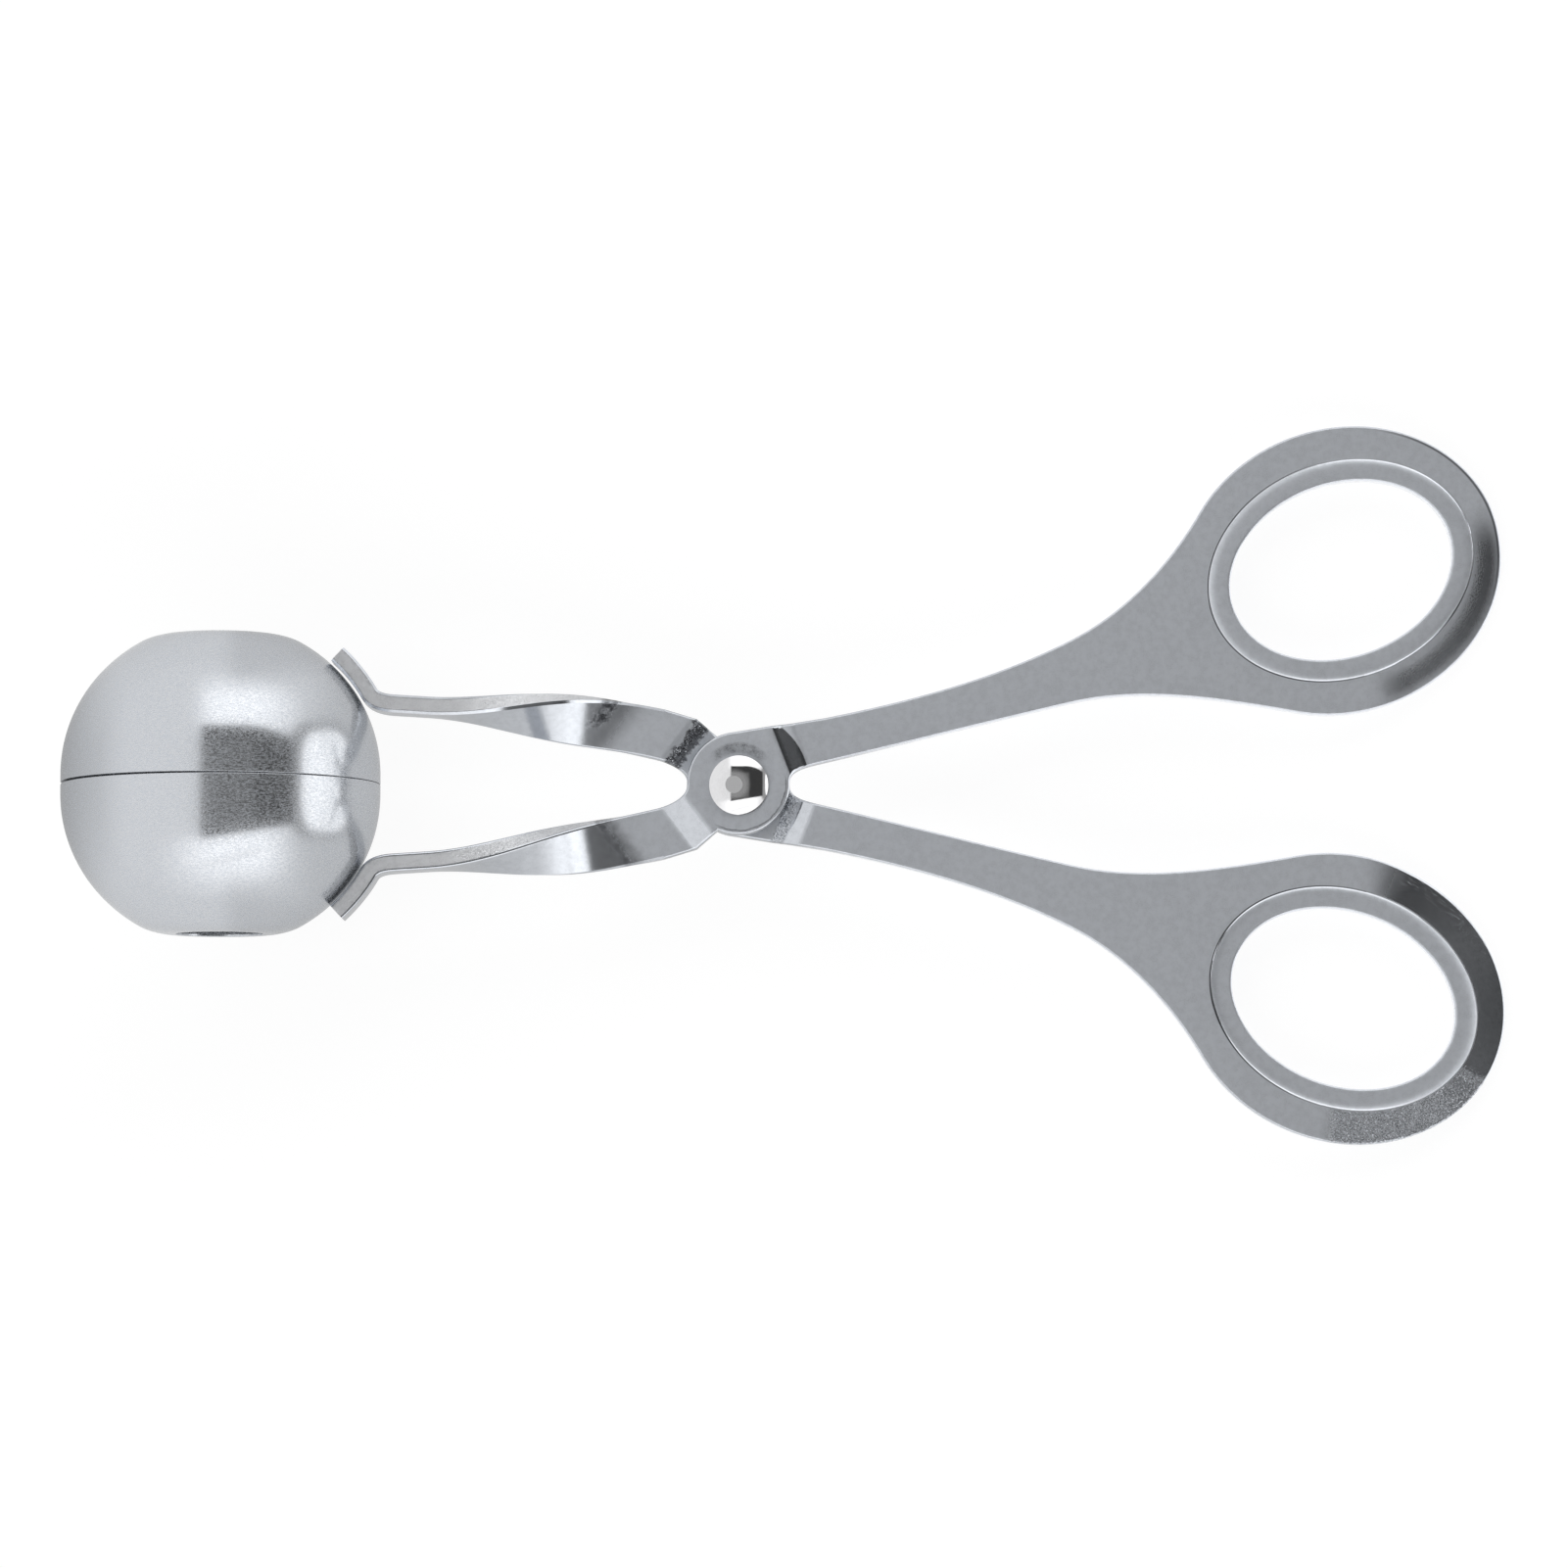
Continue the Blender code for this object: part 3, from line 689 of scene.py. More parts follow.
def make_rivet():
    """The pivot rivet; its closing blows left each crown leaning a little, with a small flat."""
    piece = turn_section("rivet_domed", rivet_section(), (0.0, 0.0, 0.0), (0.0, 0.0, 1.0),
                         RIVET_STEPS)
    rim_height = SHEET + 1.5 * TOUCH_GAP + RIVET_HEAD_RIM
    dome_radius = rivet_dome_radius()
    cut_reach = math.sqrt(dome_radius ** 2 - RIVET_FLAT_RADIUS ** 2)
    pick(piece, "verts", lambda vert: vert.co.to_2d().length > RIVET_SHANK_RADIUS + 0.1 * MM
         or abs(vert.co.z) > rim_height)
    bpy.ops.transform.translate(value=(*RIVET_HEAD_SHIFT, 0.0))
    for side in (1.0, -1.0):
        outward = Vector((0.0, 0.0, side))
        rim_middle = Vector((*RIVET_HEAD_SHIFT, side * rim_height))
        leaning = Vector((*CROWN_LEAN, side)).normalized()
        turn = outward.rotation_difference(leaning).to_matrix().to_4x4()
        turn = Matrix.Translation(rim_middle) @ turn @ Matrix.Translation(-rim_middle)
        pick(piece, "verts", lambda vert: vert.co.z * side > rim_height - 0.1 * MM)
        bm = bmesh.from_edit_mesh(piece.data)
        bmesh.ops.transform(bm, matrix=turn, verts=[vert for vert in bm.verts if vert.select])
        bmesh.update_edit_mesh(piece.data)
        middle = turn @ (rim_middle + outward * (RIVET_HEAD_RISE - dome_radius))
        flat_out = Vector((*RIVET_FLAT_PLACE, 0.0)) - Vector((middle.x, middle.y, 0.0))
        flat_out.z = side * math.sqrt(dome_radius ** 2 - flat_out.length ** 2)
        flat_out.normalize()
        bpy.ops.mesh.select_all(action="SELECT")
        bpy.ops.mesh.bisect(plane_co=middle + flat_out * cut_reach, plane_no=flat_out,
                            clear_outer=True, use_fill=True, threshold=CUT_SLACK)
    place_piece(piece, TOOL_FRAME, RIVET_SMOOTH_ANGLE)
    return piece


def tool_direction(x, y, z):
    """A direction of the tool's frame, in the world."""
    return (TOOL_X * x + TOOL_Y * y + PIN * z).normalized()


def make_camera():
    """The photograph's view."""
    lean = math.radians(CAMERA_LEAN)
    toward = tool_direction(0.0, -math.sin(lean), math.cos(lean))
    image_up = tool_direction(0.0, math.cos(lean), math.sin(lean))
    image_right = image_up.cross(toward)
    turn = Matrix((image_right, image_up, toward)).transposed().to_4x4()
    turn.translation = TOOL_FRAME @ Vector((*VIEW_CENTRE, 0.0)) + toward * CAMERA_DISTANCE
    data = bpy.data.cameras.new("camera")
    data.sensor_width = SENSOR_WIDTH
    data.lens = SENSOR_WIDTH * CAMERA_DISTANCE / VIEW_WIDTH
    data.clip_start = 0.01
    camera = bpy.data.objects.new("camera", data)
    bpy.context.scene.collection.objects.link(camera)
    camera.matrix_world = turn
    bpy.context.scene.camera = camera


class NodeTree:
    """Short ways to add and join the nodes of one tree."""

    def __init__(self, tree):
        self.tree = tree

    def add(self, kind, inputs=None, **settings):
        """A new node with its settings, and what its inputs take by name or number."""
        node = self.tree.nodes.new(kind)
        for name, value in settings.items():
            setattr(node, name, value)
        self.feed(node, inputs or {})
        return node

    def feed(self, node, inputs):
        """Each input takes a link from another node's output, or a plain value."""
        for name, value in inputs.items():
            socket = node.inputs[name]
            if isinstance(value, bpy.types.NodeSocket):
                self.tree.links.new(value, socket)
            else:
                socket.default_value = value

    def math(self, operation, *values, clamp=False):
        inputs = dict(enumerate(values))
        return self.add("ShaderNodeMath", inputs, operation=operation, use_clamp=clamp).outputs[0]

    def scaled(self, value, factor, offset=0.0, clamp=False):
        """A value times a factor, plus an offset."""
        return self.math("MULTIPLY_ADD", value, factor, offset, clamp=clamp)

    def vector(self, operation, *values):
        node = self.add("ShaderNodeVectorMath", dict(enumerate(values)), operation=operation)
        return node.outputs["Value"] if operation in ("DOT_PRODUCT", "LENGTH") else node.outputs[0]

    def in_mm(self, place):
        """A place in millimetres."""
        inputs = {0: place, "Scale": 1.0 / MM}
        return self.add("ShaderNodeVectorMath", inputs, operation="SCALE").outputs[0]

    def turned(self, place, angle):
        """A place turned about Z by an angle in radians."""
        inputs = {"Vector": place, "Angle": angle}
        return self.add("ShaderNodeVectorRotate", inputs, rotation_type="Z_AXIS").outputs[0]

    def noise(self, place, size, detail, roughness=0.5, distortion=0.0):
        """Soft noise round 0.5, as coarse as its size."""
        inputs = {"Vector": place, "Scale": self.math("DIVIDE", 1.0, size), "Detail": detail,
                  "Roughness": roughness, "Distortion": distortion}
        return self.add("ShaderNodeTexNoise", inputs, noise_dimensions="3D").outputs["Fac"]

    def step(self, value, low, high, start=0.0, end=1.0):
        """A soft step from one level to another while the value runs from low to high."""
        inputs = {"Value": value, "From Min": low, "From Max": high, "To Min": start, "To Max": end}
        node = self.add("ShaderNodeMapRange", inputs, interpolation_type="SMOOTHSTEP")
        return node.outputs["Result"]

    def fade(self, value, low, high):
        """A soft step down from 1 to 0."""
        return self.step(value, low, high, 1.0, 0.0)

    def window(self, value, low, high, soft):
        """1 where a value is between two limits, fading out over a soft width beyond them."""
        return self.both(self.step(value, low - soft, low), self.fade(value, high, high + soft))

    def mix(self, share, first, second):
        """A colour between two; 6, 7 and 2 are the node's colour sockets."""
        node = self.add("ShaderNodeMix", {0: share, 6: first, 7: second}, data_type="RGBA")
        return node.outputs[2]

    def both(self, *masks):
        """All the masks multiplied."""
        joined = masks[0]
        for mask in masks[1:]:
            joined = self.math("MULTIPLY", joined, mask)
        return joined

    def either(self, *masks):
        """The greatest of the masks."""
        joined = masks[0]
        for mask in masks[1:]:
            joined = self.math("MAXIMUM", joined, mask)
        return joined

    def use(self, group, **inputs):
        """Places a node group."""
        return self.add("ShaderNodeGroup", inputs, node_tree=group).outputs

    def put_out(self, kind, outputs):
        """Gives a node group its outputs and hands the group over."""
        for label in outputs:
            self.tree.interface.new_socket(name=label, in_out="OUTPUT", socket_type="NodeSocket" + kind)
        self.add("NodeGroupOutput", outputs)
        return self.tree


def grey(level):
    return (level, level, level, 1.0)


def between(nodes, value, low, high, soft):
    """1 where a value is between two limits, which may be other nodes' outputs, with soft ends."""
    return nodes.both(
        nodes.step(value, nodes.math("SUBTRACT", low, soft), nodes.math("ADD", low, soft)),
        nodes.fade(value, nodes.math("SUBTRACT", high, soft), nodes.math("ADD", high, soft)))


def rounded_panel(nodes, across, up, centre, half_size, soft):
    """1 inside a panel with round corners."""
    shares = []
    for value, middle, half in ((across, centre[0], half_size[0]), (up, centre[1], half_size[1])):
        share = nodes.math("DIVIDE", nodes.math("SUBTRACT", value, middle), half)
        shares.append(nodes.math("POWER", nodes.math("ABSOLUTE", share), 3.0))
    return nodes.fade(nodes.math("ADD", *shares), 1.0 - soft, 1.0 + soft)


def studio_group():
    """The light that comes from a direction: a pale room with soft boxes round a dark ceiling.

    Across and up are places in the picture of a mirrored ball that the camera sees."""
    nodes, given = new_group("studio_light", "Direction")
    lean = math.radians(CAMERA_LEAN)
    camera_place = Vector((*VIEW_CENTRE, 0.0)) + CAMERA_DISTANCE * Vector(
        (0.0, -math.sin(lean), math.cos(lean)))
    probe = tool_direction(*(camera_place + Vector((CUP_FROM_PIVOT, 0.0, 0.0))))
    picture_up = (TOOL_Y - probe * TOOL_Y.dot(probe)).normalized()
    picture_across = picture_up.cross(probe)
    facing = nodes.vector("NORMALIZE", nodes.vector("ADD", given["Direction"], probe))
    across = nodes.vector("DOT_PRODUCT", facing, picture_across)
    up = nodes.vector("DOT_PRODUCT", facing, picture_up)

    # The dark ceiling's upper side bends down to its right, its lower side rises
    past_bend = nodes.math("MAXIMUM", nodes.math("SUBTRACT", across, CEILING_BEND_START), 0.0)
    ceiling_top = nodes.scaled(nodes.math("POWER", past_bend, 2.0), -CEILING_BEND, CEILING_TOP)
    ceiling_bottom = nodes.scaled(across, CEILING_RISE, CEILING_BOTTOM)
    below_ceiling = nodes.math("SUBTRACT", ceiling_bottom, up)
    streak_middle = nodes.scaled(across, 0.3, -0.45)
    streak_gap = nodes.math("ABSOLUTE", nodes.math("SUBTRACT", up, streak_middle))
    ceiling = nodes.both(between(nodes, across, *CEILING_SIDES, 0.015),
                         between(nodes, up, ceiling_bottom, ceiling_top, 0.012))
    panels = {
        "right_part": nodes.step(across, -0.02, 0.12),
        "left_end": nodes.fade(across, -0.99, -0.55),
        "upper_box": nodes.both(
            nodes.step(across, -0.2, -0.02), nodes.fade(across, 0.18, 0.68),
            nodes.step(up, 0.23, 0.33), nodes.fade(up, 0.48, 0.71)),
        "lower_box": nodes.both(
            nodes.step(across, -0.42, 0.02), nodes.fade(across, 0.2, 0.56),
            nodes.step(below_ceiling, -0.06, 0.02), nodes.step(up, -0.72, -0.405)),
        "streak": nodes.both(nodes.fade(streak_gap, 0.0, 0.045),
                             between(nodes, across, -0.11, 0.24, 0.02)),
        "box_frame": rounded_panel(nodes, across, up, (0.57, 0.03), (0.158, 0.325), 0.35),
        "ceiling": ceiling,
        "right_box": rounded_panel(nodes, across, up, (0.612, 0.022), (0.112, 0.268), 0.2),
        "near_camera": nodes.both(between(nodes, across, -0.21, 0.205, 0.03),
                                  between(nodes, up, -0.24, 0.21, 0.03), ceiling),
    }
    light = grey(ROOM_LEVEL)
    for name, level in PANEL_LEVELS.items():
        light = nodes.mix(panels[name], light, grey(level))
    return nodes.put_out("Color", {"Light": light})


def make_world(studio):
    """The room round the table; the camera itself sees plain white."""
    world = bpy.data.worlds.new("studio")
    world.use_nodes = True
    bpy.context.scene.world = world
    world.node_tree.nodes.clear()
    nodes = NodeTree(world.node_tree)
    room = nodes.use(studio, Direction=nodes.add("ShaderNodeTexCoord").outputs["Generated"])
    camera_ray = nodes.add("ShaderNodeLightPath").outputs["Is Camera Ray"]
    seen = nodes.mix(camera_ray, room["Light"], grey(1.0))
    background = nodes.add("ShaderNodeBackground", {"Color": seen})
    nodes.add("ShaderNodeOutputWorld", {"Surface": background.outputs[0]})


def make_floor(studio):
    """A wide white table top that keeps a faint shadow; in the metal the room seems to go on in it."""
    bpy.ops.mesh.primitive_plane_add(size=FLOOR_SIZE, location=(0.0, 0.0, 0.0))
    floor = bpy.context.object
    floor.name = "table_top"
    material = bpy.data.materials.new("table_top")
    material.use_nodes = True
    nodes = NodeTree(material.node_tree)
    shader = material.node_tree.nodes["Principled BSDF"]
    place = nodes.add("ShaderNodeTexCoord").outputs["Object"]
    from_ball = nodes.vector("SUBTRACT", place, TOOL_FRAME @ Vector((-CUP_FROM_PIVOT, 0.0, 0.0)))
    room = nodes.use(studio, Direction=nodes.vector("NORMALIZE", from_ball))
    paths = nodes.add("ShaderNodeLightPath").outputs
    seen = nodes.either(paths["Is Camera Ray"], paths["Is Transmission Ray"])
    mirrored = nodes.mix(FLOOR_MIRRORED_SHARE, grey(0.0), room["Light"])
    glow = nodes.mix(seen, grey(0.0), grey(FLOOR_GLOW))
    glow = nodes.mix(paths["Is Glossy Ray"], glow, mirrored)
    nodes.feed(shader, {"Base Color": grey(0.2), "Roughness": 0.9, "Specular IOR Level": 0.0,
                        "Emission Color": glow, "Emission Strength": 1.0})
    floor.data.materials.append(material)


def new_group(name, vector, *floats):
    """An empty node group with a vector and some numbers as its inputs."""
    tree = bpy.data.node_groups.new(name, "ShaderNodeTree")
    tree.interface.new_socket(name=vector, in_out="INPUT", socket_type="NodeSocketVector")
    for label in floats:
        tree.interface.new_socket(name=label, in_out="INPUT", socket_type="NodeSocketFloat")
    nodes = NodeTree(tree)
    return nodes, nodes.add("NodeGroupInput").outputs


def grain_group():
    """Fine pits and bumps of a polished skin: a height in metres, and how high as a mask."""
    nodes, given = new_group("metal_grain", "Place", "Size", "Depth")
    level = nodes.noise(nodes.in_mm(given["Place"]), given["Size"], 3.0, roughness=0.55)
    return nodes.put_out("Float", {"Height": nodes.both(level, nodes.scaled(given["Depth"], MM)),
                                   "Level": nodes.scaled(level, 4.0, -1.5, clamp=True)})


def flake_group():
    """Small facets that each lean their own way, as in torn or pitted metal."""
    nodes, given = new_group("metal_flakes", "Place", "Size", "Slant")
    in_mm = nodes.in_mm(given["Place"])
    inputs = {"Vector": in_mm, "Scale": nodes.math("DIVIDE", 1.0, given["Size"])}
    cells = nodes.add("ShaderNodeTexVoronoi", inputs, voronoi_dimensions="3D", feature="F1").outputs
    from_middle = nodes.vector("SUBTRACT", in_mm, cells["Position"])
    lean = nodes.vector("SUBTRACT", cells["Color"], (0.5, 0.5, 0.5))
    height = nodes.vector("DOT_PRODUCT", from_middle, lean)
    tone = nodes.vector("DOT_PRODUCT", cells["Color"], (1.0, 0.0, 0.0))
    return nodes.put_out("Float", {"Height": nodes.both(height, nodes.scaled(given["Slant"], 2.0 * MM)),
                                   "Tone": tone})


def scratch_group():
    """Long fine scratches along one direction of the blank."""
    nodes, given = new_group("grinding_scratches", "Place", "Angle", "Length", "Width")
    turned = nodes.turned(given["Place"], nodes.math("RADIANS", given["Angle"]))
    fineness = nodes.add("ShaderNodeCombineXYZ", {"X": nodes.math("DIVIDE", 1.0 / MM, given["Length"]),
                                                  "Y": nodes.math("DIVIDE", 1.0 / MM, given["Width"])})
    level = nodes.noise(nodes.vector("MULTIPLY", turned, fineness.outputs[0]), 1.0, 2.0)
    return nodes.put_out("Float", {"Mask": nodes.step(level, 0.56, 0.70)})


def relief_group():
    """The torn, worm-like relief of a face that a die has punched."""
    nodes, given = new_group("punched_relief", "Place", "Size", "Depth")
    level = nodes.noise(nodes.in_mm(given["Place"]), given["Size"], 1.5, distortion=1.2)
    ridge = nodes.math("ABSOLUTE", nodes.math("SUBTRACT", level, 0.5))
    height = nodes.both(nodes.step(ridge, 0.0, 0.16), nodes.scaled(given["Depth"], MM))
    return nodes.put_out("Float", {"Height": height, "Furrow": nodes.fade(ridge, 0.0, 0.035)})


def sector_mask(nodes, place, heading, near, far):
    """1 where a place lies toward a heading from the origin, by the cosine of the angle between."""
    lined_up = nodes.vector("DOT_PRODUCT", nodes.vector("NORMALIZE", place),
                            heading_vector(heading).to_3d())
    return nodes.step(lined_up, far, near)


def stamping_group():
    """Where a place of the blank is: the reaches, offsets and Strip Side are millimetres, the others
    masks from 0 to 1."""
    nodes, given = new_group("stamping_places", "Place")
    in_mm = nodes.in_mm(given["Place"])
    parts = nodes.add("ShaderNodeSeparateXYZ", {0: in_mm})
    thickness = nodes.math("ABSOLUTE", parts.outputs["Z"])
    half_sheet = SHEET / 2.0 / MM
    level_place = nodes.vector("MULTIPLY", in_mm, (1.0, 1.0, 0.0))
    disc = DISC_RADIUS / MM
    strip_end = disc + STRIP_RAMP / MM
    polish_end = SLOPE_POLISH_REACH / MM

    def along(heading):
        return nodes.vector("DOT_PRODUCT", level_place, heading_vector(heading).to_3d())

    along_strip = along(STRIP_HEADING)
    along_shank = along(SHANK_HEADING)
    reach = nodes.vector("LENGTH", level_place)
    side = heading_vector(STRIP_STUB_HEADING + 90.0)
    stub_side = strip_place(STRIP_STUB).dot(side) / MM
    masks = {
        "Edge": nodes.fade(thickness, half_sheet - 0.5, half_sheet - 0.32),
        "Rim": nodes.fade(thickness, half_sheet - 0.1, half_sheet - 0.005),
        "Strip Reach": along_strip,
        "Shank Reach": along_shank,
        "Disc Reach": reach,
        "Handle Slope": nodes.both(
            nodes.step(along_shank, disc - 0.15, disc + 0.15),
            nodes.fade(reach, polish_end - 0.1, polish_end + 0.1)),
        "Strip Slope": nodes.both(
            nodes.step(along_strip, disc - 0.3, disc + 0.6),
            nodes.fade(along_strip, strip_end - 0.4, strip_end + 0.4)),
        "Strip": nodes.step(along_strip, strip_end + 5.0, strip_end + 9.5),
        "Strip Side": nodes.math("SUBTRACT", along(STRIP_STUB_HEADING + 90.0), stub_side),
    }

    # Round the rivet, then round the middle of the finger hole: a heading, then where it fades
    from_hole = nodes.vector("SUBTRACT", level_place, Vector(RING_CENTRE).to_3d() / MM)
    sectors = [("Above Rivet", level_place, 90.0, 0.95, 0.55),
               ("Below Rivet", level_place, -55.0, 0.6, 0.35),
               ("Flaked", from_hole, 64.0, 0.92, 0.76),
               ("Near End", from_hole, 195.0, 0.8, -0.3),
               ("Upper End", from_hole, 32.0, 0.95, 0.65)]
    for label, wear in (("Front Wear", FRONT_WEAR), ("Back Wear", BACK_WEAR)):
        near = math.cos(math.radians(wear[1] - 1.2 * WEAR_FADE))
        far = math.cos(math.radians(wear[1] + 0.8 * WEAR_FADE))
        sectors.append((label, from_hole, wear[0], near, far))
    for label, place, heading, near, far in sectors:
        masks[label] = sector_mask(nodes, place, heading, near, far)

    turned = nodes.turned(from_hole, -math.radians(RING_TILT))
    ring_reach = nodes.vector("LENGTH", from_hole)
    for label, semi_axes in (("Hole Offset", RING_HOLE), ("Outer Offset", RING_OUTER)):
        shares = nodes.vector("DIVIDE", turned, (semi_axes[0] / MM, semi_axes[1] / MM, 1.0))
        inside = nodes.math("DIVIDE", ring_reach, nodes.vector("LENGTH", shares))
        masks[label] = nodes.math("SUBTRACT", ring_reach, inside)
    return nodes.put_out("Float", masks)


def new_metal(name, edge_tint):
    material = bpy.data.materials.new(name)
    material.use_nodes = True
    nodes = NodeTree(material.node_tree)
    shader = material.node_tree.nodes["Principled BSDF"]
    nodes.feed(shader, {"Metallic": 1.0, "Specular Tint": grey(edge_tint)})
    return material, nodes, shader


def raise_normal(nodes, shader, height):
    """Turns a height in metres into a bump of the surface."""
    bump = nodes.add("ShaderNodeBump", {"Strength": 1.0, "Distance": 1.0, "Height": height})
    nodes.feed(shader, {"Normal": bump.outputs[0]})


def front_marks(nodes, where, grains):
    """The front arm's own marks: a polished ramp, a ring end ground down outside a shallow step, and
    painted shade in from the ring's rim at its upper end.
    """
    smudge = nodes.both(nodes.window(grains["strip_drift"], *FRONT_SMUDGE), where["Strip"])
    outward = grains["outward"]
    ragged = nodes.scaled(grains["fine"]["Level"], -1.3, nodes.math("ADD", outward, 0.3))
    worn = nodes.both(nodes.fade(ragged, 2.0, 4.3), where["Front Wear"],
                      nodes.step(outward, 0.3, 1.8, 0.3, 0.8))
    # Painted shade: a dark line in from the ring's rim at its upper end
    rim_shade = nodes.both(nodes.window(outward, *RIM_SHADE), where["Upper End"])
    return {"worn": worn, "smudge": smudge, "shine": where["Strip Slope"],
            "torn": nodes.scaled(smudge, 0.15), "lift": 0.0, "grime_and_shade": nodes.scaled(rim_shade, 0.7)}


def back_marks(nodes, where, grains):
    """The back arm's own marks: ramps burnt and pitted by grinding, and a ring end ground down with
    torn flakes beside."""
    tone = grains["flakes"]["Tone"]
    outer_half = nodes.step(where["Strip Side"], -1.2, 0.6)
    smudge = nodes.both(nodes.window(grains["strip_drift"], *BACK_SMUDGE), where["Strip"], outer_half)
    burnt = nodes.window(grains["strip_drift"], *BURNT_RAMP)
    gritty = nodes.window(where["Shank Reach"], *GRITTY_RAMP)
    eased = nodes.window(where["Shank Reach"], *EASED_RAMP)
    lift = nodes.step(where["Shank Reach"], 9.5, 11.2, 0.0, 0.35 * MM)
    outside_band = nodes.step(where["Hole Offset"], 3.1, 3.3)
    flaked = nodes.scaled(grains["fine"]["Level"], -0.35, where["Flaked"])
    flaked = nodes.both(nodes.step(flaked, 0.0, 0.55), outside_band)
    torn = nodes.either(nodes.scaled(burnt, 0.45), nodes.scaled(gritty, 0.6),
                        nodes.scaled(nodes.both(flaked, flaked), 0.75), nodes.scaled(smudge, 0.15))
    grit = nodes.both(nodes.either(gritty, flaked), nodes.step(tone, 0.25, 1.0, 0.0, 0.5))
    soot = nodes.both(burnt, nodes.step(tone, 0.75, 1.0, 0.85, 0.1))
    return {"worn": nodes.both(where["Back Wear"], outside_band), "smudge": smudge,
            "shine": nodes.either(eased, nodes.scaled(flaked, 0.7), nodes.scaled(burnt, 0.8)),
            "torn": torn, "lift": lift, "grime_and_shade": nodes.either(grit, soot)}


def crease_shade_and_dark_marks(nodes, where, fine, cloudy, drift):
    """Painted shade in the crease beside the hairline, a darker arc above the rivet, a dark line where
    the disc sits, and a few specks.
    """
    # Painted shade in the crease past the hairline, darker toward the ring's near end
    line = nodes.both(nodes.window(where["Hole Offset"], *HAIRLINE_CREASE_SHADE),
                      nodes.scaled(where["Near End"], 0.75, 0.15))
    arc = nodes.both(nodes.window(where["Disc Reach"], *RIVET_DARK_ARC), where["Above Rivet"],
                     nodes.scaled(cloudy["Level"], 0.6, 0.4), nodes.scaled(fine["Level"], 0.7, 0.25))
    seat_reach = nodes.scaled(drift, 0.2, where["Disc Reach"])
    seat = nodes.both(nodes.window(seat_reach, *SEAT_DARK_LINE), where["Below Rivet"],
                      nodes.scaled(fine["Level"], 0.5, 0.35))
    speck = nodes.scaled(nodes.both(fine["Level"], cloudy["Level"]), 0.16)
    return nodes.either(line, arc, seat, speck)


def arm_material(name, groups, own_marks):
    """Plated steel: satin faces, polished slopes and strip, torn edges, worn ring ends."""
    material, nodes, shader = new_metal(name, 0.8)
    place = nodes.add("ShaderNodeAttribute", attribute_name="blank_place").outputs["Vector"]
    where = nodes.use(groups["places"], Place=place)
    fine = nodes.use(groups["grain"], Place=place, Size=0.14, Depth=0.003)
    cloudy = nodes.use(groups["grain"], Place=place, Size=0.9, Depth=0.0)
    swell = nodes.use(groups["grain"], Place=place, Size=2.4, Depth=0.006)
    flakes = nodes.use(groups["flakes"], Place=place, Size=0.13, Slant=0.4)
    relief = nodes.use(groups["relief"], Place=place, Size=0.45, Depth=0.03)
    scratches = nodes.use(groups["scratches"], Place=place, Angle=-35.0, Length=2.0, Width=0.1)
    outward = nodes.scaled(where["Outer Offset"], -1.0)
    drift = nodes.scaled(cloudy["Level"], 0.6, -0.3)
    off_edge = nodes.scaled(where["Edge"], -0.85, 1.0)
    marks = own_marks(nodes, where, {"fine": fine, "flakes": flakes, "outward": outward,
                                     "strip_drift": nodes.math("ADD", where["Strip Reach"], drift)})

    # The punched edge is torn, with furrows along the strip but not on its tab
    furrowed = nodes.both(nodes.step(where["Strip Reach"], *FURROWS_END, 1.0, 0.12), where["Edge"])
    furrow = nodes.both(relief["Furrow"], nodes.scaled(furrowed, 0.35))
    torn = nodes.either(marks["torn"], nodes.scaled(where["Edge"], 0.2))
    scored = nodes.both(scratches["Mask"], marks["worn"], nodes.step(outward, 1.2, 3.4, 0.8, 0.2))
    height = marks["lift"]
    for part in (nodes.both(fine["Height"], nodes.scaled(where["Handle Slope"], -0.85, 1.0)),
                 swell["Height"], nodes.both(relief["Height"], furrowed),
                 nodes.both(flakes["Height"], torn), nodes.scaled(scored, -0.004 * MM)):
        height = nodes.math("ADD", height, part)
    raise_normal(nodes, shader, height)

    smudge = nodes.both(marks["smudge"], nodes.scaled(cloudy["Level"], 0.5, 0.4))
    # Grime, with painted shade in creases and in from the ring's rim, darkens the colour
    grime_and_shade = nodes.either(crease_shade_and_dark_marks(nodes, where, fine, cloudy, drift), furrow, smudge,
                         marks["grime_and_shade"])
    clean = nodes.mix(where["Edge"], PLATING_COLOUR, EDGE_COLOUR)
    colour = nodes.mix(grime_and_shade, clean, DIRT_AND_SHADE_COLOUR)
    hairline = nodes.window(where["Hole Offset"], *HAIRLINE)
    shine = nodes.either(where["Handle Slope"], where["Strip"], where["Rim"], hairline,
                         marks["shine"], nodes.scaled(marks["worn"], 0.9))
    satin = nodes.scaled(fine["Level"], -0.08, SATIN_ROUGHNESS)
    polished = nodes.scaled(where["Strip"], 0.06, POLISHED_ROUGHNESS)
    gloss_gap = nodes.math("SUBTRACT", polished, satin)
    roughness = nodes.scaled(gloss_gap, nodes.both(shine, off_edge), satin)
    nodes.feed(shader, {"Base Color": colour, "Roughness": roughness})
    return material


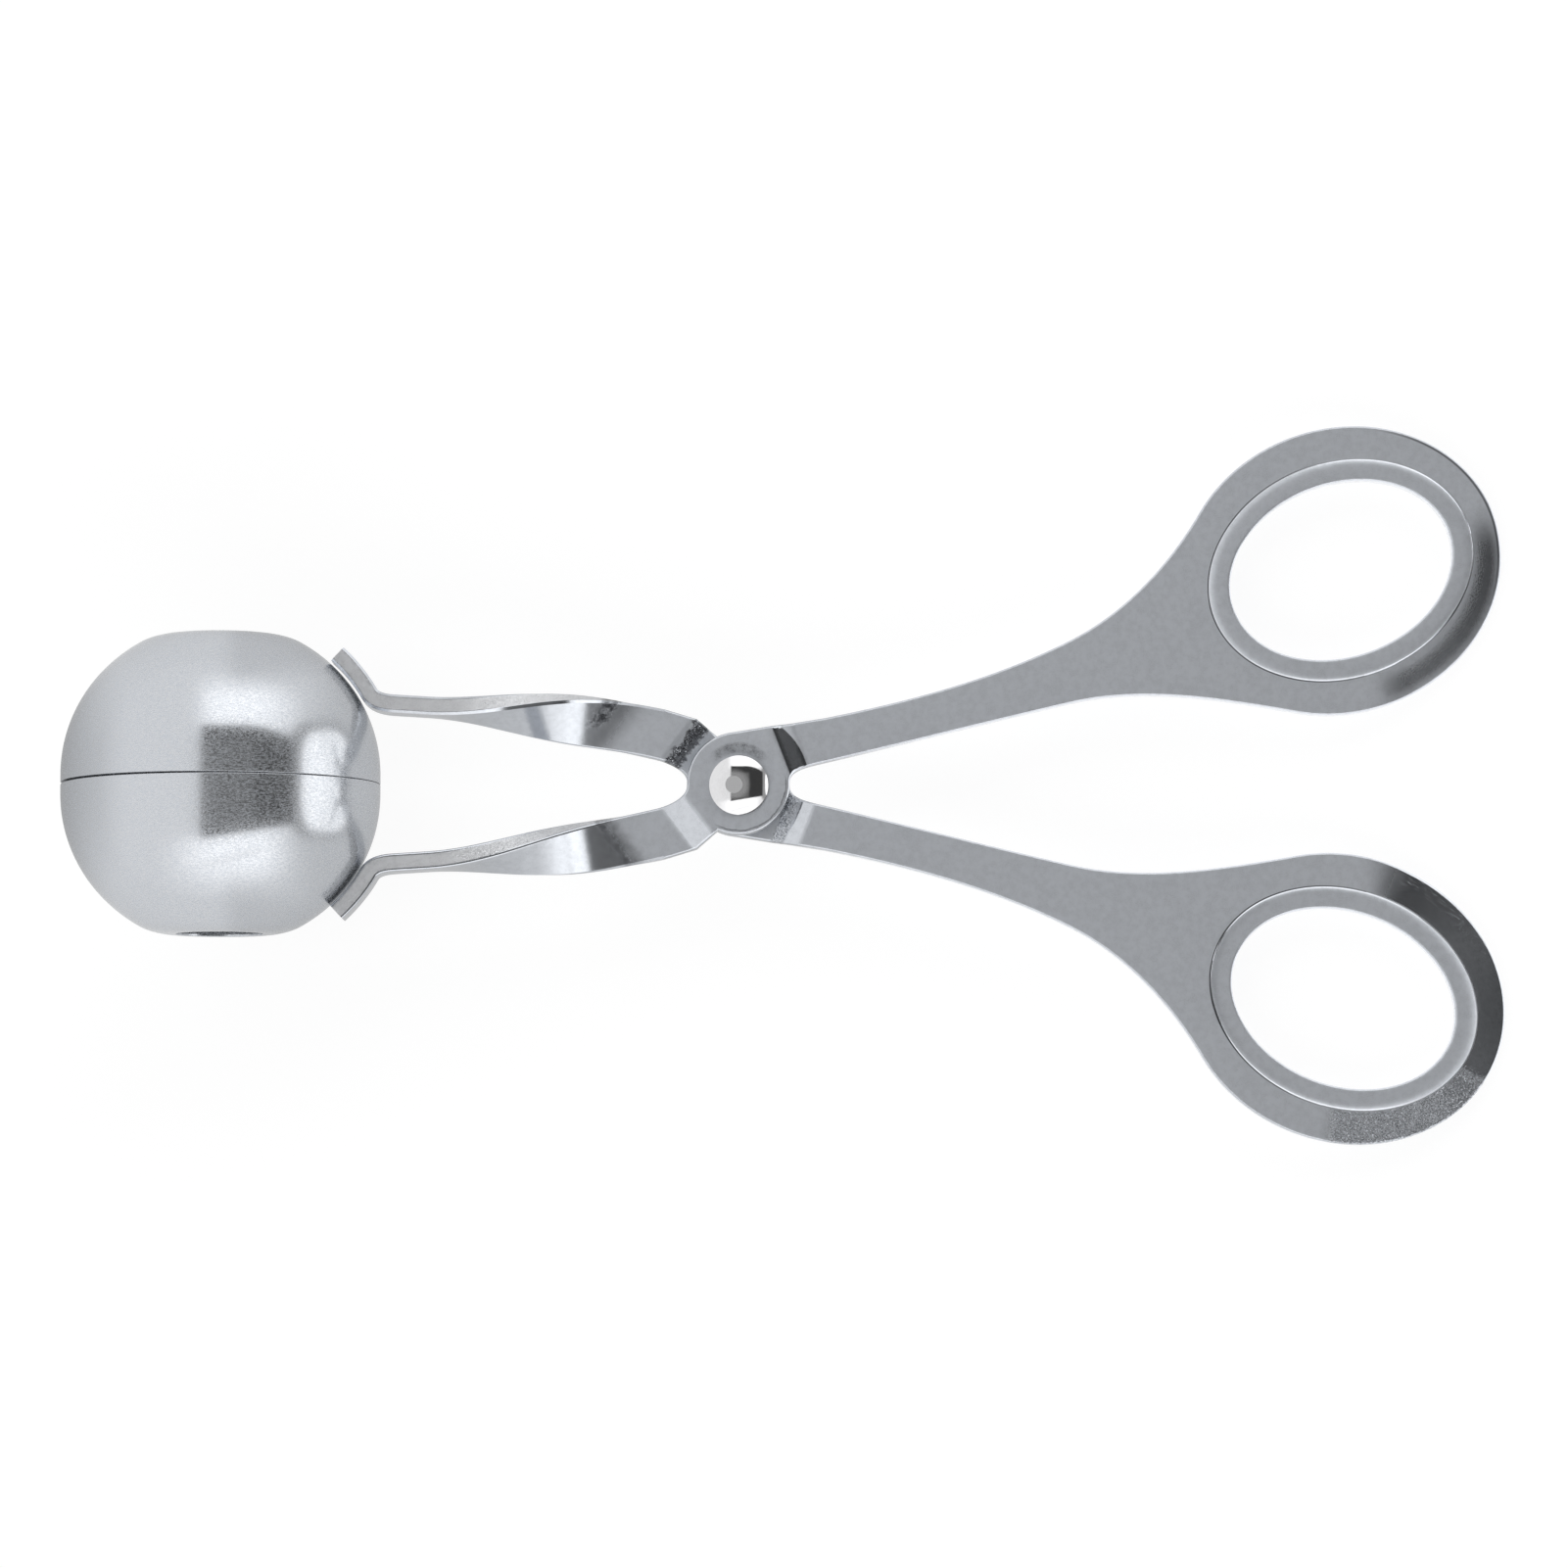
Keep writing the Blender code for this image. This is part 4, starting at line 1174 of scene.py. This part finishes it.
def cup_material(name, groups, colour):
    """Satin-polished steel: a clear sheen under a patchy haze, and fine marks that run round the cup."""
    material, nodes, shader = new_metal(name, 0.8)
    place = nodes.add("ShaderNodeTexCoord").outputs["Object"]
    across_lay = nodes.vector("MULTIPLY", place, (0.4, 1.0, 0.4))
    fine = nodes.use(groups["grain"], Place=across_lay, Size=0.17, Depth=0.0022)
    haze = nodes.use(groups["grain"], Place=across_lay, Size=0.11, Depth=0.0)
    broad = nodes.use(groups["grain"], Place=place, Size=1.6, Depth=0.004)
    raise_normal(nodes, shader, nodes.math("ADD", fine["Height"], broad["Height"]))
    hazy = nodes.mix(nodes.scaled(fine["Level"], 0.35), colour, HAZE_COLOUR)
    nodes.feed(shader, {"Base Color": hazy,
                        "Roughness": nodes.scaled(haze["Level"], 0.2, 0.10),
                        "Metallic": nodes.scaled(fine["Level"], -0.4, 1.0)})
    return material


def rivet_material(name, groups):
    """A mirror polish with a few pinpricks, duller on the small flat of each crown, and less metallic
    round the flat so that a paler patch shows there: a painted reflection.
    """
    material, nodes, shader = new_metal(name, 0.9)
    place = nodes.add("ShaderNodeTexCoord").outputs["Object"]
    fine = nodes.use(groups["grain"], Place=place, Size=0.5, Depth=0.0004)
    raise_normal(nodes, shader, fine["Height"])
    flat = TOOL_FRAME @ Vector((*RIVET_FLAT_PLACE, 0.0))
    beside = nodes.vector("CROSS_PRODUCT", nodes.vector("SUBTRACT", place, flat), PIN)
    from_flat = nodes.vector("LENGTH", beside)
    on_flat = nodes.fade(from_flat, RIVET_FLAT_RADIUS - 0.05 * MM, RIVET_FLAT_RADIUS + 0.05 * MM)
    worn = nodes.scaled(on_flat, 0.26, 0.05)
    pricked = nodes.mix(nodes.scaled(fine["Level"], 0.06), RIVET_COLOUR, grey(0.4))
    # Less metal round the flat lets the colour show paler: a painted reflection of the light near the
    # camera
    nodes.feed(shader, {"Base Color": pricked,
                        "Roughness": nodes.scaled(fine["Level"], 0.03, worn),
                        "Metallic": nodes.step(from_flat, 1.5 * MM, 2.5 * MM, 0.72, 1.0)})
    return material


clear_selection()
make_camera()
studio = studio_group()
make_world(studio)
make_floor(studio)
finish_groups = {"grain": grain_group(), "scratches": scratch_group(), "relief": relief_group(),
                 "flakes": flake_group(), "places": stamping_group()}
front_arm, back_arm = make_arms()
dress(front_arm, "front_arm", "front_half",
      arm_material("front_arm_plating", finish_groups, front_marks))
dress(back_arm, "back_arm", "back_half", arm_material("back_arm_plating", finish_groups, back_marks))
dress(make_cup("lower_cup_shell", -1.0), "lower_cup", "front_half",
      cup_material("lower_cup_satin", finish_groups, LOWER_CUP_COLOUR))
dress(make_cup("upper_cup_shell", 1.0), "upper_cup", "back_half",
      cup_material("upper_cup_satin", finish_groups, UPPER_CUP_COLOUR))
dress(make_rivet(), "pivot_rivet", "back_half", rivet_material("rivet_polish", finish_groups))

bpy.context.scene.view_settings.view_transform = "Standard"
